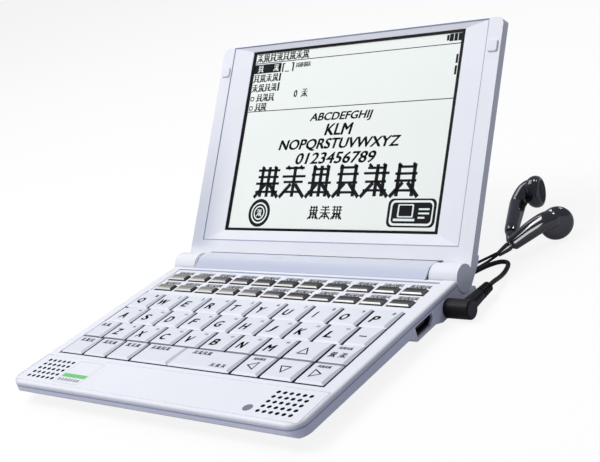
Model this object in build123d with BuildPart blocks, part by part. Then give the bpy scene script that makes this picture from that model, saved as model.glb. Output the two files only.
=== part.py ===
"""Pocket electronic dictionary: a thin keyboard case with a hinged display lid and plugged-in earphones.

Lengths are millimetres. X runs to the right, Y away from the user and Z up. The origin is on the table,
midway along the open dictionary, so every distance from the front edge is drawn on a plane that
starts at the front edge.
"""
import os
from math import acos, atan2, cos, pi, radians, sin, sqrt, tan

from build123d import *

os.makedirs("parts", exist_ok=True)

# ---------------------------------------------------------------- driving sizes
case_width = 148.0
corner_radius = 6.0
deck_height = 10.4            # table to the flat key deck
seam_drop = 2.0               # deck to the seam between the two case halves
rim_drop = 5.3                # deck to the underside of the thin front rim
rim_chamfer = 1.4
deck_thickness = 1.6
case_wall = 1.6
edge_round = 1.1              # rounding along the deck's outer edge
foot_height = 0.8

# hinge and lid
hinge_setback = 7.6           # function-key panel to the hinge axis
hinge_drop = 1.8              # deck to the hinge axis
lid_open_angle = 128.4        # between the deck and the lid's face, as photographed
knuckle_radius = 5.4
knuckle_length = 12.5
knuckle_end_gap = 0.5
cradle_clearance = 0.4
lid_closed_gap = 1.05         # deck to the lid's face when shut
lid_front_thickness = 1.6
lid_side_thickness = 4.6
lid_crown = 1.4               # how much thicker the lid is at its middle
lid_lower_edge = 6.8          # hinge axis to the lid's edge between the knuckles
lid_corner_radius = 3.0
lid_back_round = 1.5
lid_back_wall = 1.3
pin_radius = 1.5
pin_inset = 4.5               # pin ends short of the case's outer faces
pin_end_gap = 0.3
pin_to_screw = 3.4            # pin's inner end to the rear screw's axis
bore_clearance = 0.05
seat_clearance = 0.02

# keyboard
well_side_margin = 6.0
well_front = 22.2
row_pitch = 12.35
letter_columns = 10
second_row_indent = 2.35
up_key_width = 15.7
back_key_width = 21.0
key_gap = 0.3
key_rise = 0.85               # key tops above the deck
key_skirt_drop = 2.4          # key skirts below the deck
key_bevel_height = 1.45
key_side_bevel = 1.2
key_front_bevel = 0.6
key_back_bevel = 0.25
key_wall = 0.8
key_ceiling = 1.0
stem_width = 2.4
dome_gap = 0.7                # free height over each rubber dome
back_key_bow = 1.0            # bow of the curved edge between the two widest keys

# metal-finish function keys on a slightly sunk panel
panel_side_margin = 5.6
panel_setback = 3.6           # key well to the panel
panel_end_margin = 0.75
panel_front_margin = 0.8
panel_back_margin = 9.5       # second row's front to the panel's back edge
panel_depth = 0.35
function_columns = 11
function_key_spacing = 1.7
function_key_depth = 4.0
function_row_pitch = 8.9
function_gap = 0.25
function_ridge_front = 0.45
function_ridge_width = 1.3
function_end_bevel = 1.2

# speaker grilles and the groove round the front plate
grille_columns = 6
grille_rows = 5
grille_pitch = 2.82
grille_hole_radius = 0.7
grille_side_margin = 13.83
grille_y = 10.88
speaker_border_x = 0.25
speaker_border_y = 0.46
speaker_shift = 0.4
speaker_thickness = 1.7
cone_border = 1.0
cone_depth = 0.5
front_groove_inset = 1.3
front_groove_start = 1.6
front_groove_depth = 0.15
front_groove_width = 0.3
groove_to_keys = 2.2

# inside the case
belly_side_inset = 12.0
belly_flank = 7.5
belly_front = 22.0
belly_wall = 1.2
partition_setback = 0.8       # panel's back edge to the partition before the battery bay
partition_thickness = 1.5
board_gap = 0.4
board_end_gap = 1.6
board_drop = 3.2              # key skirts to the board's underside
board_thickness = 1.0
chip_height = 1.3
mat_thickness = 0.6
dome_base_width = 4.0
dome_top_width = 2.6

# battery bay and its door
battery_radius = 5.25
battery_length = 43.3
battery_nub_radius = 1.9
battery_nub_length = 1.2
battery_setback = 0.5         # hinge axis to the cells' axis
battery_floor_gap = 0.3
battery_roof = 0.95           # case over the cells, at the hump's crest
bay_end_room = 1.5
bay_clearance = 0.2
hump_front_drop = 0.15        # hump's sharp front corner below its crest
rear_radius = 7.0             # hinge axis to the case's rearmost face
door_side_gap = 0.3
door_floor = 0.6
door_rear_wall = 0.95
door_top_drop = 2.25
door_corner_radius = 3.6
door_groove_pitch = 1.6
door_groove_depth = 0.25

# ports on the right side
usb_setback = 28.1            # partition to the socket's front end
usb_length = 11.0
usb_top_drop = 2.85
usb_height = 4.2
usb_corner_cut = 2.2
usb_depth = 8.4
usb_shell_gap = 0.3
usb_shell_wall = 0.5
usb_mouth_inset = 0.8
usb_floor_wall = 1.0
usb_tongue_drop = 1.2
usb_tongue_thickness = 0.7
jack_setback = 7.3            # partition to the jack's axis
jack_rise = 3.15              # case underside to the jack's axis
jack_length = 14.0
jack_body_width = 6.0
jack_body_height = 3.6
jack_clearance = 0.2
plug_pin_radius = 1.75
plug_clearance = 0.05

# display
window_side_margin = 17.6
window_bottom = 17.0
window_top_margin = 2.65
recess_side_margin = 6.5
recess_bottom = 12.2
recess_top_margin = 0.3
recess_step = 0.2
recess_depth = 1.2
glass_side_margin = 1.6
glass_bottom_margin = 1.2
glass_top_margin = 1.15
glass_recess = 0.3
display_margin = 2.2
display_top_margin = 0.85
display_thickness = 1.5
display_gap = 0.05
bumper_size = 4.6
bumper_side_margin = 3.4
bumper_top_margin = 11.6
bumper_height = 0.75

# feet and screws
front_foot_inset = 24.0
front_foot_y = 30.0
front_foot_size = (16.0, 6.0)
rear_foot_setback = 7.0       # rear screw to the foot beside it
rear_foot_size = (7.6, 7.6)
front_screw_x = 30.0
front_screw_y = 8.0
rear_screw_inset = 3.6        # battery bay to the rear screws
screw_head_radius = 1.8
screw_head_height = 0.9
screw_head_recess = 0.9
screw_shank_radius = 0.8
screw_hole_clearance = 0.2
screw_gap = 0.05
screw_bite = 2.5              # depth of the rear screws' thread above the seam
screw_cover = 0.9             # deck left above the front screws
screw_end_gap = 0.3
screw_boss_radius = 2.3

# earphones
plug_body_radius = 3.65
plug_body_length = 10.2
plug_face_gap = 0.15
plug_pin_length = 13.4
plug_arm_offset = 6.9         # case side to the arm's axis
plug_arm_reach = 11.1         # jack axis to the arm's end
plug_relief_length = 6.0
plug_arm_radius = 3.0
rib_radius = 2.3
rib_neck_radius = 1.7
rib_count = 4
rib_taper = 0.08
cord_radius = 0.9
lead_radius = 0.55
floor_lift = 0.05
coil_centre = (14.0, 144.0)
coil_inner_radius = 6.4
coil_pitch = 2.3
coil_turns_per_layer = 3.5
coil_layers = 4
coil_layer_pitch = 2.3
yoke_radius = 1.9
yoke_length = 7.0
bud_radius = 6.9
bud_depth = 7.4
bud_stem_radius = 2.4
bud_relief_radius = 1.8
bud_tip_radius = 1.0
bud_relief_length = 6.5
lead_straight = 3.0

# ---------------------------------------------------------------- worked-out places
half_width = case_width / 2
seam_z = deck_height - seam_drop
rim_z = deck_height - rim_drop
hinge_z = deck_height - hinge_drop
floor_z = foot_height + case_wall - 0.1

well_half_width = half_width - well_side_margin
well_back = well_front + 4 * row_pitch
key_pitch = 2 * well_half_width / letter_columns
panel_half_width = half_width - panel_side_margin
panel_front = well_back + panel_setback
function_row_fronts = (
    panel_front + panel_front_margin, panel_front + panel_front_margin + function_row_pitch
)
panel_back = function_row_fronts[1] + panel_back_margin
function_pitch = 2 * (panel_half_width - panel_end_margin) / function_columns
function_key_width = function_pitch - function_key_spacing
skirt_z = deck_height - key_skirt_drop
key_top_z = deck_height + key_rise
bevel_z = key_top_z - key_bevel_height

grille_x = half_width - grille_side_margin
grille_width = (grille_columns - 1) * grille_pitch + 2 * grille_hole_radius
grille_depth = (grille_rows - 1) * grille_pitch + 2 * grille_hole_radius
front_panel_back = well_front - groove_to_keys

hinge_y = panel_back + hinge_setback
lid_length = hinge_y
face_w = -(lid_closed_gap + hinge_drop)
lid_seam_w = face_w - lid_front_thickness
back_w = face_w - lid_side_thickness
window_w = face_w - recess_step - recess_depth
lean = radians(180 - lid_open_angle)
lid_up = (0, cos(lean), sin(lean))
lid_out = (0, -sin(lean), cos(lean))
rear_reach = (
    (lid_length - lid_back_round) * cos(lean) + (-back_w - lid_back_round) * sin(lean) + lid_back_round
)
overall_depth = hinge_y + rear_reach
front_y = -overall_depth / 2
knuckle_inner = half_width - knuckle_length
hump_half_width = knuckle_inner - knuckle_end_gap
cradle_radius = knuckle_radius + cradle_clearance
rear_y = hinge_y + rear_radius

window_half_width = half_width - window_side_margin
window_top = lid_length - window_top_margin
recess_half_width = half_width - recess_side_margin
recess_top = lid_length - recess_top_margin
glass_half_width = window_half_width - glass_side_margin
glass_bottom = window_bottom + glass_bottom_margin
glass_top = window_top - glass_top_margin
bumper_x = half_width - bumper_side_margin
bumper_v = lid_length - bumper_top_margin

partition_y = panel_back + partition_setback
board_base = skirt_z - board_drop
mat_z = board_base + board_thickness
dome_z = skirt_z - dome_gap
belly_half = half_width - belly_side_inset
board_rise = belly_flank * (board_base - floor_z) / (rim_z + case_wall - floor_z)
board_half_width = belly_half - belly_wall + board_rise - board_gap
board_front = belly_front + belly_wall - board_rise + board_gap
board_back = partition_y - board_end_gap

battery_y = hinge_y + battery_setback
battery_z = foot_height + door_floor + battery_floor_gap + battery_radius
bay_half_width = battery_length + battery_nub_length + bay_end_room
hump_crest_z = battery_z + battery_radius + battery_roof
door_top_z = deck_height - door_top_drop

usb_front = partition_y - usb_setback
usb_back = usb_front + usb_length
usb_top_z = deck_height - usb_top_drop
usb_bottom_z = usb_top_z - usb_height
jack_y = partition_y - jack_setback
jack_z = foot_height + jack_rise
jack_pocket = jack_body_width / 2 + jack_clearance
jack_x = half_width - case_wall - jack_length

front_foot_x = half_width - front_foot_inset
rear_screw_x = bay_half_width + rear_screw_inset
rear_screw_y = hinge_y - 1.0
rear_foot_x = rear_screw_x + rear_foot_setback
rear_foot_y = hinge_y - 1.4
pin_seat = hump_half_width - rear_screw_x - pin_to_screw
plug_arm_x = half_width + plug_arm_offset
plug_arm_end = jack_y + plug_arm_reach
plug_relief_end = plug_arm_end + plug_relief_length


def level(z):
    """Horizontal sketch plane whose y is measured from the case's front edge"""
    return Plane(origin=(0, front_y, z))


def section(x):
    """Upright sketch plane facing right: sketch x is measured from the front edge, sketch y is height"""
    return Plane(origin=(x, front_y, 0), x_dir=(0, 1, 0), z_dir=(1, 0, 0))


def spot(x, y, z):
    """A point given from the front edge, in the part's own frame"""
    return (x, front_y + y, z)


hinge_point = Vector(*spot(0, hinge_y, hinge_z))


def lid_level(w):
    """Sketch plane parallel to the lid's face, w above the hinge axis: sketch y runs up the lid"""
    return Plane(origin=hinge_point + Vector(*lid_out) * w, x_dir=(1, 0, 0), z_dir=lid_out)


def lid_section(x):
    """Sketch plane across the lid: sketch x runs up the lid, sketch y stands out of its face"""
    return Plane(origin=hinge_point + Vector(x, 0, 0), x_dir=lid_up, z_dir=(1, 0, 0))


def span(x0, x1, y0, y1, mode=Mode.ADD):
    """Rectangle between two corners"""
    with Locations(((x0 + x1) / 2, (y0 + y1) / 2)):
        Rectangle(x1 - x0, y1 - y0, mode=mode)


def wide(half, y0, y1, mode=Mode.ADD):
    """Rectangle centred across the case"""
    span(-half, half, y0, y1, mode)


def case_outline(inset, back):
    """Plan of the case from its front edge to a given depth, with rounded front corners"""
    with BuildSketch(mode=Mode.PRIVATE) as outline:
        wide(half_width - inset, inset, back)
        fillet(outline.vertices().group_by(Axis.Y)[0], corner_radius - inset)
    add(outline.sketch)


# ---------------------------------------------------------------- deck cover
function_xs = [function_pitch * (i - (function_columns - 1) / 2) for i in range(function_columns)]
# side view of the hump over the batteries: a sloping front, a crest and a rounded back
hump_foot = (hinge_y - 5.55, deck_height)
hump_corner = (hinge_y - 1.3, hump_crest_z - hump_front_drop)
hump_crest = (hinge_y + 2.2, hump_crest_z)
hump_shoulder = (hinge_y + 5.2, deck_height + 2.1)
hump_back = (hinge_y + 6.7, hinge_z + 1.95)

with BuildPart() as deck_cover:
    with BuildSketch(level(seam_z)):
        case_outline(0, hinge_y)
    extrude(amount=seam_drop)
    top_edges = deck_cover.faces().sort_by(Axis.Z)[-1].edges()
    fillet(top_edges.sort_by(Axis.Y)[:-1], edge_round)
    with BuildSketch(section(-hump_half_width)):
        with BuildLine():
            Polyline((panel_back, seam_z), (panel_back, deck_height), hump_foot, hump_corner)
            ThreePointArc(hump_corner, hump_crest, hump_shoulder)
            ThreePointArc(hump_shoulder, hump_back, (rear_y, seam_z))
            Line((rear_y, seam_z), (panel_back, seam_z))
        make_face()
    extrude(amount=2 * hump_half_width)
    # cradles that the lid's knuckles turn in
    for side in (-half_width - 1, hump_half_width):
        with BuildSketch(section(side)):
            with Locations((hinge_y, hinge_z)):
                Circle(cradle_radius)
            span(hinge_y, rear_y + 1, seam_z - 1, deck_height + cradle_radius)
        extrude(amount=half_width + 1 - hump_half_width, mode=Mode.SUBTRACT)
    # key well, function-key panel and its openings, speaker holes
    with BuildSketch(level(seam_z)):
        wide(well_half_width, well_front, well_back)
        span(
            -well_half_width, -well_half_width + second_row_indent,
            well_front + 2 * row_pitch, well_front + 3 * row_pitch, Mode.SUBTRACT,
        )
        for row_front in function_row_fronts:
            for x in function_xs:
                span(
                    x - function_key_width / 2 - function_gap, x + function_key_width / 2 + function_gap,
                    row_front - function_gap, row_front + function_key_depth + function_gap,
                )
        with Locations((-grille_x, grille_y), (grille_x, grille_y)):
            with GridLocations(grille_pitch, grille_pitch, grille_columns, grille_rows):
                Circle(grille_hole_radius)
    extrude(amount=seam_drop, mode=Mode.SUBTRACT)
    with BuildSketch(level(deck_height)):
        wide(panel_half_width, panel_front, panel_back)
    extrude(amount=-panel_depth, mode=Mode.SUBTRACT)
    # fine groove round the front palm plate
    with BuildSketch(level(deck_height)):
        wide(half_width - front_groove_inset, front_groove_start, front_panel_back)
        wide(
            half_width - front_groove_inset - front_groove_width,
            front_groove_start + front_groove_width, front_panel_back - front_groove_width, Mode.SUBTRACT,
        )
    extrude(amount=-front_groove_depth, mode=Mode.SUBTRACT)
    # underside: shallow pocket, battery bay roof, hinge pin seats and screw bosses
    with BuildSketch(level(seam_z)):
        case_outline(case_wall, partition_y)
    extrude(amount=seam_drop - deck_thickness, mode=Mode.SUBTRACT)
    with BuildSketch(section(-bay_half_width)):
        with Locations((battery_y, battery_z)):
            Circle(battery_radius + bay_clearance)
        span(battery_y, rear_y - door_rear_wall, seam_z - 1, door_top_z + 1)
    extrude(amount=2 * bay_half_width, mode=Mode.SUBTRACT)
    for x in (-front_screw_x, front_screw_x):
        with BuildSketch(level(seam_z + seam_drop - deck_thickness)):
            with Locations((x, front_screw_y)):
                Circle(screw_boss_radius)
        extrude(amount=-(seam_z + seam_drop - deck_thickness - rim_z - case_wall - screw_gap))
        with BuildSketch(level(rim_z)):
            with Locations((x, front_screw_y)):
                Circle(screw_shank_radius + seat_clearance)
        extrude(amount=deck_height - screw_cover - rim_z, mode=Mode.SUBTRACT)
    for x in (-rear_screw_x, rear_screw_x):
        with BuildSketch(level(seam_z)):
            with Locations((x, rear_screw_y)):
                Circle(screw_shank_radius + seat_clearance)
        extrude(amount=screw_bite, mode=Mode.SUBTRACT)
    for side in (-hump_half_width - 1, hump_half_width - pin_seat):
        with BuildSketch(section(side)):
            with Locations((hinge_y, hinge_z)):
                Circle(pin_radius + seat_clearance)
        extrude(amount=pin_seat + 1, mode=Mode.SUBTRACT)

deck_cover.part.label = "deck_cover"
export_step(deck_cover.part, "parts/deck_cover.step")

# ---------------------------------------------------------------- lower case
usb_points = [
    (usb_front, usb_top_z), (usb_back, usb_top_z), (usb_back, usb_bottom_z + usb_corner_cut),
    (usb_back - usb_corner_cut * 1.2, usb_bottom_z), (usb_front, usb_bottom_z),
]
# underside of the side walls, which steps down below the socket and again before the battery bay
side_steps = [
    (rim_chamfer, rim_z), (usb_front - 4.1, rim_z), (usb_front - 0.7, usb_bottom_z - usb_floor_wall),
    (usb_back + 0.7, usb_bottom_z - usb_floor_wall), (usb_back + 4.9, foot_height),
]

with BuildPart() as lower_case:
    with BuildSketch(section(-half_width)):
        with BuildLine():
            Polyline(
                (0, seam_z), (0, rim_z + rim_chamfer), *side_steps,
                (rear_y - door_corner_radius, foot_height),
            )
            RadiusArc(
                (rear_y - door_corner_radius, foot_height), (rear_y, foot_height + door_corner_radius),
                -door_corner_radius,
            )
            Polyline((rear_y, foot_height + door_corner_radius), (rear_y, seam_z), (0, seam_z))
        make_face()
    extrude(amount=case_width)
    with BuildSketch(level(0)):
        case_outline(0, rear_y)
    extrude(amount=deck_height, mode=Mode.INTERSECT)
    # belly that holds the board, set in from the rim on sloping flanks
    with BuildSketch(level(foot_height)):
        wide(belly_half, belly_front, hinge_y)
    with BuildSketch(level(rim_z)):
        wide(belly_half + belly_flank, belly_front - belly_flank, hinge_y)
    loft()
    # cavities
    with BuildSketch(level(rim_z + case_wall)):
        case_outline(case_wall, partition_y)
    extrude(amount=seam_drop * 2, mode=Mode.SUBTRACT)
    with BuildSketch(level(floor_z)):
        wide(belly_half - belly_wall, belly_front + belly_wall, partition_y)
    with BuildSketch(level(rim_z + case_wall)):
        wide(belly_half + belly_flank - belly_wall, belly_front - belly_flank + belly_wall, partition_y)
    loft(mode=Mode.SUBTRACT)
    # battery bay, open below and behind for its door
    with BuildSketch(level(0)):
        wide(bay_half_width, partition_y + partition_thickness, rear_y + 1)
    extrude(amount=deck_height, mode=Mode.SUBTRACT)
    # cradles and the tail under each knuckle
    for side in (-half_width - 1, hump_half_width):
        with BuildSketch(section(side)):
            with Locations((hinge_y, hinge_z)):
                Circle(cradle_radius)
            span(hinge_y, rear_y + 1, hinge_z - cradle_radius, deck_height)
            span(hinge_y + cradle_radius - 0.6, rear_y + 1, 0, deck_height)
        extrude(amount=half_width + 1 - hump_half_width, mode=Mode.SUBTRACT)
    # openings for the ports, hinge pins and screws
    with BuildSketch(section(half_width - usb_depth)):
        Polygon(*usb_points, align=None)
    extrude(amount=usb_depth + 1, mode=Mode.SUBTRACT)
    with BuildSketch(section(jack_x - 0.2)):
        span(
            jack_y - jack_pocket, jack_y + jack_pocket,
            jack_z - jack_body_height / 2 - jack_clearance / 2, seam_z,
        )
    extrude(amount=jack_length + 0.25, mode=Mode.SUBTRACT)
    with BuildSketch(section(half_width - 2)):
        with Locations((jack_y, jack_z)):
            Circle(plug_pin_radius + 0.9)
    extrude(amount=3, mode=Mode.SUBTRACT)
    for side in (-hump_half_width - 1, hump_half_width - pin_seat):
        with BuildSketch(section(side)):
            with Locations((hinge_y, hinge_z)):
                Circle(pin_radius + seat_clearance)
        extrude(amount=pin_seat + 1, mode=Mode.SUBTRACT)
    for x in (-front_screw_x, front_screw_x):
        with BuildSketch(level(0)):
            with Locations((x, front_screw_y)):
                Circle(screw_shank_radius + screw_hole_clearance)
        extrude(amount=seam_z, mode=Mode.SUBTRACT)
        with BuildSketch(level(0)):
            with Locations((x, front_screw_y)):
                Circle(screw_head_radius + screw_hole_clearance)
        extrude(amount=rim_z + screw_head_height, mode=Mode.SUBTRACT)
    for x in (-rear_screw_x, rear_screw_x):
        with BuildSketch(level(0)):
            with Locations((x, rear_screw_y)):
                Circle(screw_shank_radius + screw_hole_clearance)
        extrude(amount=deck_height, mode=Mode.SUBTRACT)
        with BuildSketch(level(0)):
            with Locations((x, rear_screw_y)):
                Circle(screw_head_radius + screw_hole_clearance)
        extrude(amount=foot_height + screw_head_recess + screw_head_height + 0.1, mode=Mode.SUBTRACT)

lower_case.part.label = "lower_case"
export_step(lower_case.part, "parts/lower_case.step")

# ---------------------------------------------------------------- battery door and batteries
door_half = bay_half_width - door_side_gap
door_front = partition_y + partition_thickness + door_side_gap

with BuildPart() as battery_door:
    with BuildSketch(section(-door_half)):
        with BuildLine():
            Line((door_front, foot_height), (rear_y - door_corner_radius, foot_height))
            RadiusArc(
                (rear_y - door_corner_radius, foot_height), (rear_y, foot_height + door_corner_radius),
                -door_corner_radius,
            )
            Polyline(
                (rear_y, foot_height + door_corner_radius), (rear_y, door_top_z),
                (rear_y - door_rear_wall, door_top_z), (rear_y - door_rear_wall, battery_z),
            )
            RadiusArc(
                (rear_y - door_rear_wall, battery_z), (battery_y, foot_height + door_floor),
                rear_y - door_rear_wall - battery_y,
            )
            Polyline(
                (battery_y, foot_height + door_floor), (door_front, foot_height + door_floor),
                (door_front, foot_height),
            )
        make_face()
    extrude(amount=2 * door_half)
    # finger grooves across the underside
    with BuildSketch(level(foot_height)):
        with GridLocations(1, door_groove_pitch, 1, 3):
            with Locations((0, battery_y - 2)):
                Rectangle(14, 0.7)
    extrude(amount=door_groove_depth, mode=Mode.SUBTRACT)

battery_door.part.label = "battery_door"
export_step(battery_door.part, "parts/battery_door.step")

with BuildPart() as batteries:
    for start in (-battery_length - battery_nub_length, 0.1):
        with BuildSketch(section(start)):
            with Locations((battery_y, battery_z)):
                Circle(battery_radius)
        extrude(amount=battery_length)
        with BuildSketch(section(start + battery_length)):
            with Locations((battery_y, battery_z)):
                Circle(battery_nub_radius)
        extrude(amount=battery_nub_length)

batteries.part.label = "batteries"
export_step(batteries.part, "parts/batteries.step")

# ---------------------------------------------------------------- keys
row_fronts = [well_front + row_pitch * (3 - i) for i in range(4)]
left = -well_half_width
enter_key_width = 5 * key_pitch - back_key_width - up_key_width
rows = [
    (["q", "w", "e", "r", "t", "y", "u", "i", "o", "p"], left, [key_pitch] * letter_columns),
    (
        ["a", "s", "d", "f", "g", "h", "j", "k", "l", "dash"],
        left + second_row_indent, [key_pitch] * 9 + [key_pitch - second_row_indent],
    ),
    (
        ["shift", "z", "x", "c", "v", "b", "n", "m", "up", "symbols"],
        left, [2 * key_pitch - up_key_width] + [key_pitch] * 7 + [up_key_width, key_pitch],
    ),
    (
        ["menu", "jump", "list", "back", "enter", "left", "down", "right"],
        left, [key_pitch] * 3 + [back_key_width, enter_key_width, key_pitch, up_key_width, key_pitch],
    ),
]


def key_outline(x0, x1, y0, y1, bow_left, bow_right):
    """Outline of one key with straight or bowed sides"""
    middle = (y0 + y1) / 2
    with BuildSketch(mode=Mode.PRIVATE) as outline:
        with BuildLine():
            Line((x0, y0), (x1, y0))
            if bow_right:
                ThreePointArc((x1, y0), (x1 + bow_right, middle), (x1, y1))
            else:
                Line((x1, y0), (x1, y1))
            Line((x1, y1), (x0, y1))
            if bow_left:
                ThreePointArc((x0, y1), (x0 + bow_left, middle), (x0, y0))
            else:
                Line((x0, y1), (x0, y0))
        make_face()
    add(outline.sketch)


key_centres = []
for (names, start, widths), row_front in zip(rows, row_fronts):
    x = start
    for name, width in zip(names, widths):
        x0 = x + key_gap / 2
        x1 = x + width - key_gap / 2
        y0 = row_front + key_gap / 2
        y1 = row_front + row_pitch - key_gap / 2
        bow_left = -back_key_bow if name == "enter" else 0
        bow_right = -back_key_bow if name == "back" else 0
        with BuildPart() as key:
            with BuildSketch(level(skirt_z)):
                key_outline(x0, x1, y0, y1, bow_left, bow_right)
            extrude(amount=bevel_z - skirt_z)
            with BuildSketch(level(bevel_z)):
                key_outline(x0, x1, y0, y1, bow_left, bow_right)
            with BuildSketch(level(key_top_z)):
                key_outline(
                    x0 + key_side_bevel, x1 - key_side_bevel, y0 + key_front_bevel, y1 - key_back_bevel,
                    bow_left, bow_right,
                )
            loft(ruled=True)
            with BuildSketch(level(skirt_z)):
                key_outline(
                    x0 + key_wall, x1 - key_wall, y0 + key_wall, y1 - key_wall, bow_left, bow_right
                )
                with Locations(((x0 + x1) / 2, (y0 + y1) / 2)):
                    Rectangle(stem_width, stem_width, mode=Mode.SUBTRACT)
            extrude(amount=key_top_z - key_ceiling - skirt_z, mode=Mode.SUBTRACT)
        key.part.label = f"key_{name}"
        export_step(key.part, f"parts/key_{name}.step")
        key_centres.append(((x0 + x1) / 2, (y0 + y1) / 2))
        x += width

with BuildPart() as function_keys:
    for row_front in function_row_fronts:
        row_back = row_front + function_key_depth
        for x in function_xs:
            x0 = x - function_key_width / 2
            x1 = x + function_key_width / 2
            with BuildSketch(level(skirt_z)):
                span(x0, x1, row_front, row_back)
            extrude(amount=bevel_z - skirt_z)
            with BuildSketch(level(bevel_z)):
                span(x0, x1, row_front, row_back)
            with BuildSketch(level(key_top_z)):
                span(
                    x0 + function_end_bevel, x1 - function_end_bevel,
                    row_front + function_ridge_front, row_front + function_ridge_front + function_ridge_width,
                )
            loft(ruled=True)

function_keys.part.label = "function_keys"
export_step(function_keys.part, "parts/function_keys.step")
function_centres = [(x, row + function_key_depth / 2) for row in function_row_fronts for x in function_xs]

# ---------------------------------------------------------------- key mat and main board
with BuildPart() as key_mat:
    with BuildSketch(level(mat_z)):
        wide(board_half_width, board_front, board_back)
    extrude(amount=mat_thickness)
    for centres, base, top in (
        (key_centres, dome_base_width, dome_top_width),
        (function_centres, dome_base_width * 0.8, dome_top_width * 0.7),
    ):
        for centre in centres:
            with BuildSketch(level(mat_z + mat_thickness)):
                with Locations(centre):
                    Rectangle(base, base)
            with BuildSketch(level(dome_z)):
                with Locations(centre):
                    Rectangle(top, top)
            loft(ruled=True)

key_mat.part.label = "key_mat"
export_step(key_mat.part, "parts/key_mat.step")

# the board's larger chips: x, distance from the board's front edge, width and depth
chips = ((-18, 39, 16, 16), (14, 43, 14, 9), (14, 27, 12, 8), (-42, 37, 9, 7))

with BuildPart() as main_board:
    with BuildSketch(level(board_base)):
        wide(board_half_width, board_front, board_back)
        with Locations((board_half_width, jack_y)):
            Rectangle(2 * (jack_length - 5), 2 * jack_pocket + 0.6, mode=Mode.SUBTRACT)
    extrude(amount=board_thickness)
    with BuildSketch(level(board_base)):
        for x, depth_in, width, depth in chips:
            with Locations((x, board_front + depth_in)):
                Rectangle(width, depth)
    extrude(amount=-chip_height)

main_board.part.label = "main_board"
export_step(main_board.part, "parts/main_board.step")

# ---------------------------------------------------------------- ports and speakers
usb_x = half_width - usb_mouth_inset
usb_tongue = (
    usb_front + usb_corner_cut, usb_back - usb_corner_cut - 1.2,
    usb_top_z - usb_tongue_drop - usb_tongue_thickness, usb_top_z - usb_tongue_drop,
)
with BuildPart() as usb_port:
    with BuildSketch(section(half_width - usb_depth + usb_shell_gap)):
        Polygon(*usb_points, align=None)
        offset(amount=-usb_shell_gap, kind=Kind.INTERSECTION)
    extrude(amount=usb_x - half_width + usb_depth - usb_shell_gap)
    with BuildSketch(section(half_width - usb_depth + 2)):
        Polygon(*usb_points, align=None)
        offset(amount=-usb_shell_gap - usb_shell_wall, kind=Kind.INTERSECTION)
        span(*usb_tongue)
    usb_mouth = usb_x - half_width + usb_depth - 2
    extrude(amount=usb_mouth, mode=Mode.SUBTRACT)
    with BuildSketch(section(half_width - usb_depth + 1.5)):
        span(*usb_tongue)
    extrude(amount=usb_mouth)

usb_port.part.label = "usb_port"
export_step(usb_port.part, "parts/usb_port.step")

with BuildPart() as headphone_jack:
    with BuildSketch(section(jack_x)):
        span(
            jack_y - jack_body_width / 2, jack_y + jack_body_width / 2,
            jack_z - jack_body_height / 2, jack_z + jack_body_height / 2,
        )
    extrude(amount=jack_length)
    with BuildSketch(section(jack_x + jack_length)):
        with Locations((jack_y, jack_z)):
            Circle(plug_pin_radius + 0.8)
    extrude(amount=1.4)
    with BuildSketch(section(jack_x + 1)):
        with Locations((jack_y, jack_z)):
            Circle(plug_pin_radius + plug_clearance)
    extrude(amount=jack_length + 2, mode=Mode.SUBTRACT)

headphone_jack.part.label = "headphone_jack"
export_step(headphone_jack.part, "parts/headphone_jack.step")

speaker_width = grille_width + 2 * speaker_border_x
speaker_depth = grille_depth + 2 * speaker_border_y

with BuildPart() as speakers:
    speaker_z = rim_z + case_wall + seat_clearance
    for x in (-grille_x, grille_x):
        with BuildSketch(level(speaker_z)):
            with Locations((x, grille_y + speaker_shift)):
                Rectangle(speaker_width, speaker_depth)
        extrude(amount=speaker_thickness)
        with BuildSketch(level(speaker_z + speaker_thickness)):
            with Locations((x, grille_y + speaker_shift)):
                Rectangle(speaker_width - 2 * cone_border, speaker_depth - 2 * cone_border)
        extrude(amount=-cone_depth, mode=Mode.SUBTRACT)

speakers.part.label = "speakers"
export_step(speakers.part, "parts/speakers.step")

# ---------------------------------------------------------------- feet, screws and hinge pins
with BuildPart() as rubber_feet:
    with BuildSketch(level(0)):
        with Locations((-front_foot_x, front_foot_y), (front_foot_x, front_foot_y)):
            SlotOverall(front_foot_size[0], front_foot_size[1])
        with Locations((-rear_foot_x, rear_foot_y), (rear_foot_x, rear_foot_y)):
            RectangleRounded(rear_foot_size[0], rear_foot_size[1], 1.5)
    extrude(amount=foot_height)

rubber_feet.part.label = "rubber_feet"
export_step(rubber_feet.part, "parts/rubber_feet.step")

with BuildPart() as case_screws:
    for x in (-front_screw_x, front_screw_x):
        with BuildSketch(level(rim_z + screw_gap)):
            with Locations((x, front_screw_y)):
                Circle(screw_head_radius)
        extrude(amount=screw_head_height - 2 * screw_gap)
        with BuildSketch(level(rim_z + screw_gap)):
            with Locations((x, front_screw_y)):
                Circle(screw_shank_radius)
        extrude(amount=deck_height - screw_cover - screw_end_gap - rim_z)
    for x in (-rear_screw_x, rear_screw_x):
        with BuildSketch(level(foot_height + screw_head_recess)):
            with Locations((x, rear_screw_y)):
                Circle(screw_head_radius)
        extrude(amount=screw_head_height)
        with BuildSketch(level(foot_height + screw_head_recess)):
            with Locations((x, rear_screw_y)):
                Circle(screw_shank_radius)
        extrude(amount=seam_z + screw_bite - screw_end_gap - foot_height - screw_head_recess)

case_screws.part.label = "case_screws"
export_step(case_screws.part, "parts/case_screws.step")

pin_length = half_width - pin_inset - hump_half_width + pin_seat
with BuildPart() as hinge_pins:
    for side in (-half_width + pin_inset, hump_half_width - pin_seat + 0.1):
        with BuildSketch(section(side)):
            with Locations((hinge_y, hinge_z)):
                Circle(pin_radius)
        extrude(amount=pin_length - 0.1)

hinge_pins.part.label = "hinge_pins"
export_step(hinge_pins.part, "parts/hinge_pins.step")


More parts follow.
